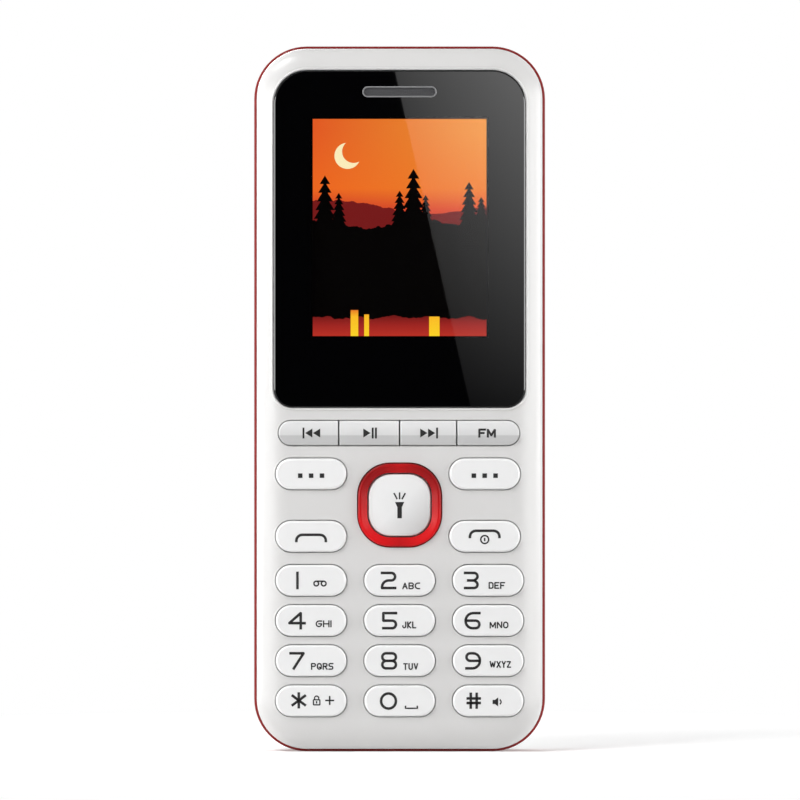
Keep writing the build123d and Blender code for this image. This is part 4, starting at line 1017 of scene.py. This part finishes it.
width, _, height = (window_high - window_low) / MM + 2 * mathutils.Vector((LIP_AWAY, 0, LIP_AWAY))
corners = bar(-width / 2, -height / 2, width, height)[1]
bends = 2 * [WINDOW_BOTTOM_CORNER + LIP_AWAY] + 2 * [WINDOW_TOP_CORNER + LIP_AWAY]
window_middle = (window_low + window_high) / 2
outline = stroke(corners + corners[:1], 0, bends)
mesh = drawing_mesh("lip", [outline], window_middle.x, window_middle.z)
lip = plain_mesh(
    "window_lip", mesh, bead_tree, Target=nodes["front_housing"], Plastic=shell_white,
    Radius=LIP_RADIUS * MM,
)
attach(lip, "chassis")
print("window_lip:", len(lip.data.polygons), "faces")

# %% [markdown]
# The receiver's slot and the loudspeaker carry woven wire. In a plain weave each wire rises over one
# crossing wire and dips under the next, so its height is a product of two cosines, and the wires across
# take the same product upside down. The tree lays both sets of wires as lines of points, cuts them to a
# slot or a disc, gives each point its height and sweeps a small square section along.

# %% Woven wire with Geometry Nodes
POINTS_PER_PITCH = 4
WIRE_CORNERS = 4
weave_tree, given = new_tree(
    "woven wire", ("Pitch", "Float"), ("Half", "Float"), ("Radius", "Float"), ("Wire", "Float"),
    ("Middle", "Vector"), ("Metal", "Material"),
)
pitch = given["Pitch"]
steps = {
    "x": sums("CEIL", (given["Half"] + given["Radius"]) / pitch),
    "z": sums("CEIL", given["Radius"] / pitch),
}


def row_of_points(axis, points_per_step):
    """A line of points along an axis, from one side of the weave to the other."""
    step = pitch / points_per_step
    half_count = steps[axis] * points_per_step
    row = {
        "Count": half_count * 2.0 + 1.0,
        "Start Location": point(weave_tree, **{axis: half_count * step * -1.0}),
        "Offset": point(weave_tree, **{axis: step}),
    }
    return flow(weave_tree, "GeometryNodeMeshLine", row)


def wires(along, crossing, sign):
    """All wires along one axis, each lifted and lowered at its crossings."""
    wire = {"Instance": row_of_points(along, POINTS_PER_PITCH)}
    laid = row_of_points(crossing, 1).step("InstanceOnPoints", wire).step("RealizeInstances")
    x, _, z = position(weave_tree)
    past = sums("MAXIMUM", abs(x) - given["Half"], 0.0)
    outside = sums("SQRT", past * past + z * z) > given["Radius"]
    laid = laid.step("DeleteGeometry", {"Selection": outside})
    lift = given["Wire"] * sign
    for axis in (x, z):
        lift = lift * sums("COSINE", axis / pitch * math.pi)
    laid = laid.step("SetPosition", {"Offset": point(weave_tree, y=lift)})
    swept = {"Profile Curve": round_section(WIRE_CORNERS, given["Wire"]), "Fill Caps": True}
    return laid.step("MeshToCurve").step("CurveToMesh", swept)


cloth = joined(wires("x", "z", 1.0), wires("z", "x", -1.0))
finished(cloth.step("SetPosition", {"Offset": given["Middle"]}), given["Metal"])


def weave(name, node, side, pitch, wire_radius, half_length, radius):
    """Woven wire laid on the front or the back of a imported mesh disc. Lengths are in mm."""
    low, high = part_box(node)
    middle = (low + high) / 2
    face = low.y if side == FRONT else high.y
    middle.y = face + side * 2 * wire_radius * MM
    made = plain_mesh(
        name, bpy.data.meshes.new(name), weave_tree, Pitch=pitch * MM, Half=half_length * MM,
        Radius=radius * MM, Wire=wire_radius * MM, Middle=middle, Metal=dark_wire,
    )
    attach(made, "chassis")
    print(f"{name}: {len(made.data.polygons)} faces")


weave("receiver_weave", "earpiece_mesh", FRONT, 0.3, 0.045, 5.1, 0.85)
weave("speaker_weave", "speaker_mesh", BACK, 0.5, 0.08, 0.0, 6.6)

# %% [markdown]
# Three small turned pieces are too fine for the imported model: the bright chamfer inside the receiver's
# slot, the domed front lens of the camera, and the stepped ring that holds it. Each is a stack of
# loops, joined one to the next.


# %% Pieces made of loops
def oval(half_length, radius, y, middle, count=12):
    """A loop of two half circles and two straight sides, in the plane of the face."""
    loop = []
    for side in (1, -1):
        for step in range(count + 1):
            turn = side * math.pi / 2 - math.pi * step / count
            x = side * half_length + radius * math.cos(turn)
            loop.append((middle.x + x * MM, y, middle.z + radius * math.sin(turn) * MM))
    return loop


def stacked(name, loops, material, closed):
    """Faces between loops of the same length. The last loop joins the first, or both ends are capped."""
    count = len(loops[0])
    pairs = list(zip(range(len(loops)), range(1, len(loops))))
    if closed:
        pairs.append((len(loops) - 1, 0))
    faces = []
    for low, high in pairs:
        for step in range(count):
            after = (step + 1) % count
            corners = (low, step), (low, after), (high, after), (high, step)
            faces.append([loop * count + place for loop, place in corners])
    if not closed:
        faces.append(list(reversed(range(count))))
        faces.append(list(range((len(loops) - 1) * count, len(loops) * count)))
    mesh = bpy.data.meshes.new(name)
    mesh.from_pydata([place for loop in loops for place in loop], [], faces)
    shape = bmesh.new()
    shape.from_mesh(mesh)
    bmesh.ops.remove_doubles(shape, verts=shape.verts, dist=INK_SINK / 10)
    bmesh.ops.recalc_face_normals(shape, faces=shape.faces)
    shape.to_mesh(mesh)
    shape.free()
    mesh.shade_smooth()
    mesh.materials.append(material)
    made = add_object(name, mesh)
    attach(made, "chassis")
    print(f"{name}: {len(mesh.polygons)} faces")


SLOT_HALF = 12.0 / 2
SLOT_RADIUS = 1.75 / 2
SLOT_DROP = 3.45
CHAMFER = 0.24
slot_middle = mathutils.Vector((0, face_y, window_high.z - SLOT_DROP * MM))
rim_steps = [(SLOT_RADIUS, 0), (SLOT_RADIUS - CHAMFER, CHAMFER), (SLOT_RADIUS, CHAMFER)]
rim_loops = [
    oval(SLOT_HALF - SLOT_RADIUS, radius, face_y + depth * MM, slot_middle)
    for radius, depth in rim_steps
]
rim_grey = finish("grey satin rim", (150, 150, 152), 0.5, 0.3, 0.001, 0.01)
stacked("receiver_rim", rim_loops, rim_grey, closed=True)

LENS_RADIUS = 1.5
LENS_RISE = 0.24
BARREL_GAP = 0.3
DOME_SHARES = (1.0, 0.94, 0.8, 0.6, 0.35, 0.1)
RING_STEPS = [(2.4, 0.0), (2.4, 0.22), (2.1, 0.22), (1.95, 0.12), (1.75, 0.12), (1.6, 0.0)]
barrel_y = camera_low.y - BARREL_GAP * MM
dome_loops = [
    oval(0, LENS_RADIUS * share, barrel_y + LENS_RISE * (1 - share**2) * MM, lens_middle)
    for share in DOME_SHARES
]
stacked("lens_dome", dome_loops, glass_dark, closed=False)
ring_loops = [oval(0, radius, barrel_y + rise * MM, lens_middle) for radius, rise in RING_STEPS]
stacked("lens_ring", ring_loops, case_black, closed=True)

# %% [markdown]
# A studio for white plastic: a white world, soft boxes at both sides that brighten the rolled edges,
# a lamp from the upper left and one behind, for the views of the back. What lights the phone is
# stronger from above than from below, so every key is a little brighter on top. The camera and
# mirrors still see the world plain white.

# %% World and lamps
BELOW_LEVEL = 0.17
ABOVE_LEVEL = 0.39
BRIGHTEST_WAY = (-0.3, -0.1, 0.95)
LAMPS = [
    ("upper_left_lamp", (-0.45, -0.45, 0.8), 0.3, 0.46),
    ("left_box", (-0.6, -0.09, 0.06), 0.4, 0.95),
    ("right_box", (0.6, -0.09, 0.06), 0.4, 1.0),
    ("back_lamp", (-0.3, 0.85, 0.45), 0.5, 0.5),
]


def seen_by(tree, *kinds):
    """1 for rays of these kinds, and 0 for all others."""
    path = put(tree, "ShaderNodeLightPath").outputs
    share = Value(path[f"Is {kinds[0]} Ray"])
    for kind in kinds[1:]:
        share = sums("MAXIMUM", share, Value(path[f"Is {kind} Ray"]))
    return share


world = bpy.data.worlds.new("white studio")
bpy.context.scene.world = world
world.use_nodes = True
tree = world.node_tree
background = tree.nodes["Background"]
background.inputs["Color"].default_value = (1, 1, 1, 1)
aimed = {0: object_place(tree), 1: mathutils.Vector(BRIGHTEST_WAY).normalized()}
upwards = flow(tree, "ShaderNodeVectorMath", aimed, "Value", operation="DOT_PRODUCT")
soft_level = mapped(upwards, -1.0, 1.0, BELOW_LEVEL, ABOVE_LEVEL)
shows = seen_by(tree, "Camera", "Glossy", "Transmission")
sums("MAXIMUM", soft_level, shows).into(background.inputs["Strength"])

phone_middle = (cad_low + cad_high) / 2
for name, place, size, level in LAMPS:
    lamp = bpy.data.lights.new(name, "AREA")
    lamp.size = size
    away = phone_middle - mathutils.Vector(place)
    lamp.energy = level * math.pi**2 * away.length_squared
    made = add_object(name, lamp)
    made.location = place
    made.rotation_euler = away.to_track_quat("-Z", "Y").to_euler()

# %% [markdown]
# The floor is white and keeps the phone's soft shadow near it. Away from the phone it turns into plain
# white light for the camera, so it meets the white world without a line. It sends only a little light
# back up to the phone, as a floor of grey paper would.

# %% Floor
FLOOR_HALF = 3.0
SHADOW_REACH = 0.14
NEAR = 0.04
FLOOR_GLOW = 0.2


def bare_material(name):
    """A material that shows nothing yet."""
    material = bpy.data.materials.new(name)
    material.use_nodes = True
    material.node_tree.nodes.remove(material.node_tree.nodes["Principled BSDF"])
    return material


def glowing(tree, strength):
    """A surface that gives off plain white light."""
    return flow(tree, "ShaderNodeEmission", {"Strength": strength})


def flat_sheet(name, points, material):
    """One flat face between these points."""
    mesh = bpy.data.meshes.new(name)
    mesh.from_pydata(points, [], [range(len(points))])
    mesh.materials.append(material)
    return add_object(name, mesh)


floor_white = bare_material("floor white")
tree = floor_white.node_tree
shows = seen_by(tree, "Camera", "Glossy")
paper = {"Color": blended(shows, tint(205, 205, 205), tint(244, 244, 244))}
near_floor = {0: flow(tree, "ShaderNodeBsdfDiffuse", paper), 1: glowing(tree, FLOOR_GLOW)}
near_floor = flow(tree, "ShaderNodeAddShader", near_floor)
away = flow(tree, "ShaderNodeVectorMath", {0: object_place(tree)}, "Value", operation="LENGTH")
share = mapped(away, NEAR, SHADOW_REACH, 0.0, 1.0, interpolation_type="SMOOTHSTEP") * shows
show(floor_white, mixed(share, near_floor, glowing(tree, 1.0)))
floor_corners = [(-1, -1), (1, -1), (1, 1), (-1, 1)]
floor_points = [(x * FLOOR_HALF, y * FLOOR_HALF, 0) for x, y in floor_corners]
floor = flat_sheet("floor", floor_points, floor_white)

# %% [markdown]
# Straight behind the camera stands a black card, with a black sheet on the floor before it, so the
# window mirrors black. In front of it stands a slanted bright card, which makes the glare. It fades
# downwards and towards its slanted side. Far out at both sides stand bright strips that only mirrors
# see, and they make the shell's rolled edges shine. Their corners are given in pixels of the picture,
# those of the strips from its middle.

# %% Cards for the window to mirror
CARD_DISTANCE = 1.6
BLACK_CARD = [(-200, -200), (1000, -200), (1000, 1000), (-200, 1000)]
SHEET_HALF = 0.3
SHEET_START = -0.75
SHEET_RISE = 0.001
GLARE_NEARER = 0.02
GLARE_CARD = [(391, 56), (640, 56), (640, 420), (473, 420)]
WINDOW_RIGHT = 525
GLARE_EDGE = 0.42
GLARE_INNER = 1.1
GLARE_TOP_LEVEL = 3.0
GLARE_BOTTOM_LEVEL = 0.2
STRIP_LEVEL = 8.0
STRIP_CARD = [(6200, -700), (1900, -700), (1900, 520), (6200, 520)]
middle_pixel = PICTURE_PIXELS / 2
pixel_size = MM_PER_PIXEL * MM * (1 + CARD_DISTANCE / camera_distance)


def mirrored(pixels, nearer=0.0):
    """The places behind the camera that the window mirrors at these pixels of the picture."""
    y = face_y - CARD_DISTANCE + nearer
    return [
        ((across - middle_pixel) * pixel_size + camera_x, y, (middle_pixel - down) * pixel_size + camera_z)
        for across, down in pixels
    ]


def card(name, points, material):
    """A flat card that mirrors see and the camera doesn't."""
    made = flat_sheet(name, points, material)
    made.visible_camera = False
    made.visible_shadow = False
    return made


card_black = finish("black card", (3, 3, 3), 0.9, 2.0, 0.01, 0.0)
card("black_card", mirrored(BLACK_CARD), card_black)
sheet_corners = [(-1, SHEET_START), (1, SHEET_START), (1, -CARD_DISTANCE), (-1, -CARD_DISTANCE)]
sheet_points = [(side * SHEET_HALF, y, SHEET_RISE) for side, y in sheet_corners]
card("black_sheet", sheet_points, card_black).visible_diffuse = False

card_glow = bare_material("bright card")
x, _, z = axes_of(object_place(card_glow.node_tree))
across = x * (1 / pixel_size) + (middle_pixel - camera_x / pixel_size)
down = z * (-1 / pixel_size) + (middle_pixel + camera_z / pixel_size)
(top_left, top), _, _, (bottom_left, bottom) = GLARE_CARD
inset = across - mapped(down, top, bottom, top_left, bottom_left)
sideways = mapped(inset, 0.0, WINDOW_RIGHT - top_left, GLARE_EDGE, GLARE_INNER)
downwards = mapped(down, top, bottom, GLARE_TOP_LEVEL, GLARE_BOTTOM_LEVEL)
show(card_glow, glowing(card_glow.node_tree, downwards * sideways))
card("bright_card", mirrored(GLARE_CARD, GLARE_NEARER), card_glow)

strip_glow = bare_material("strip glow")
show(strip_glow, glowing(strip_glow.node_tree, STRIP_LEVEL))
for name, side in (("left_strip", -1), ("right_strip", 1)):
    strip_corners = [(middle_pixel + side * away, down) for away, down in STRIP_CARD]
    card(name, mirrored(strip_corners), strip_glow).visible_diffuse = False

# %% [markdown]
# Colours are shown as they are written: the Standard view, and nothing else changed.

# %% Finish
bpy.context.scene.view_settings.view_transform = "Standard"
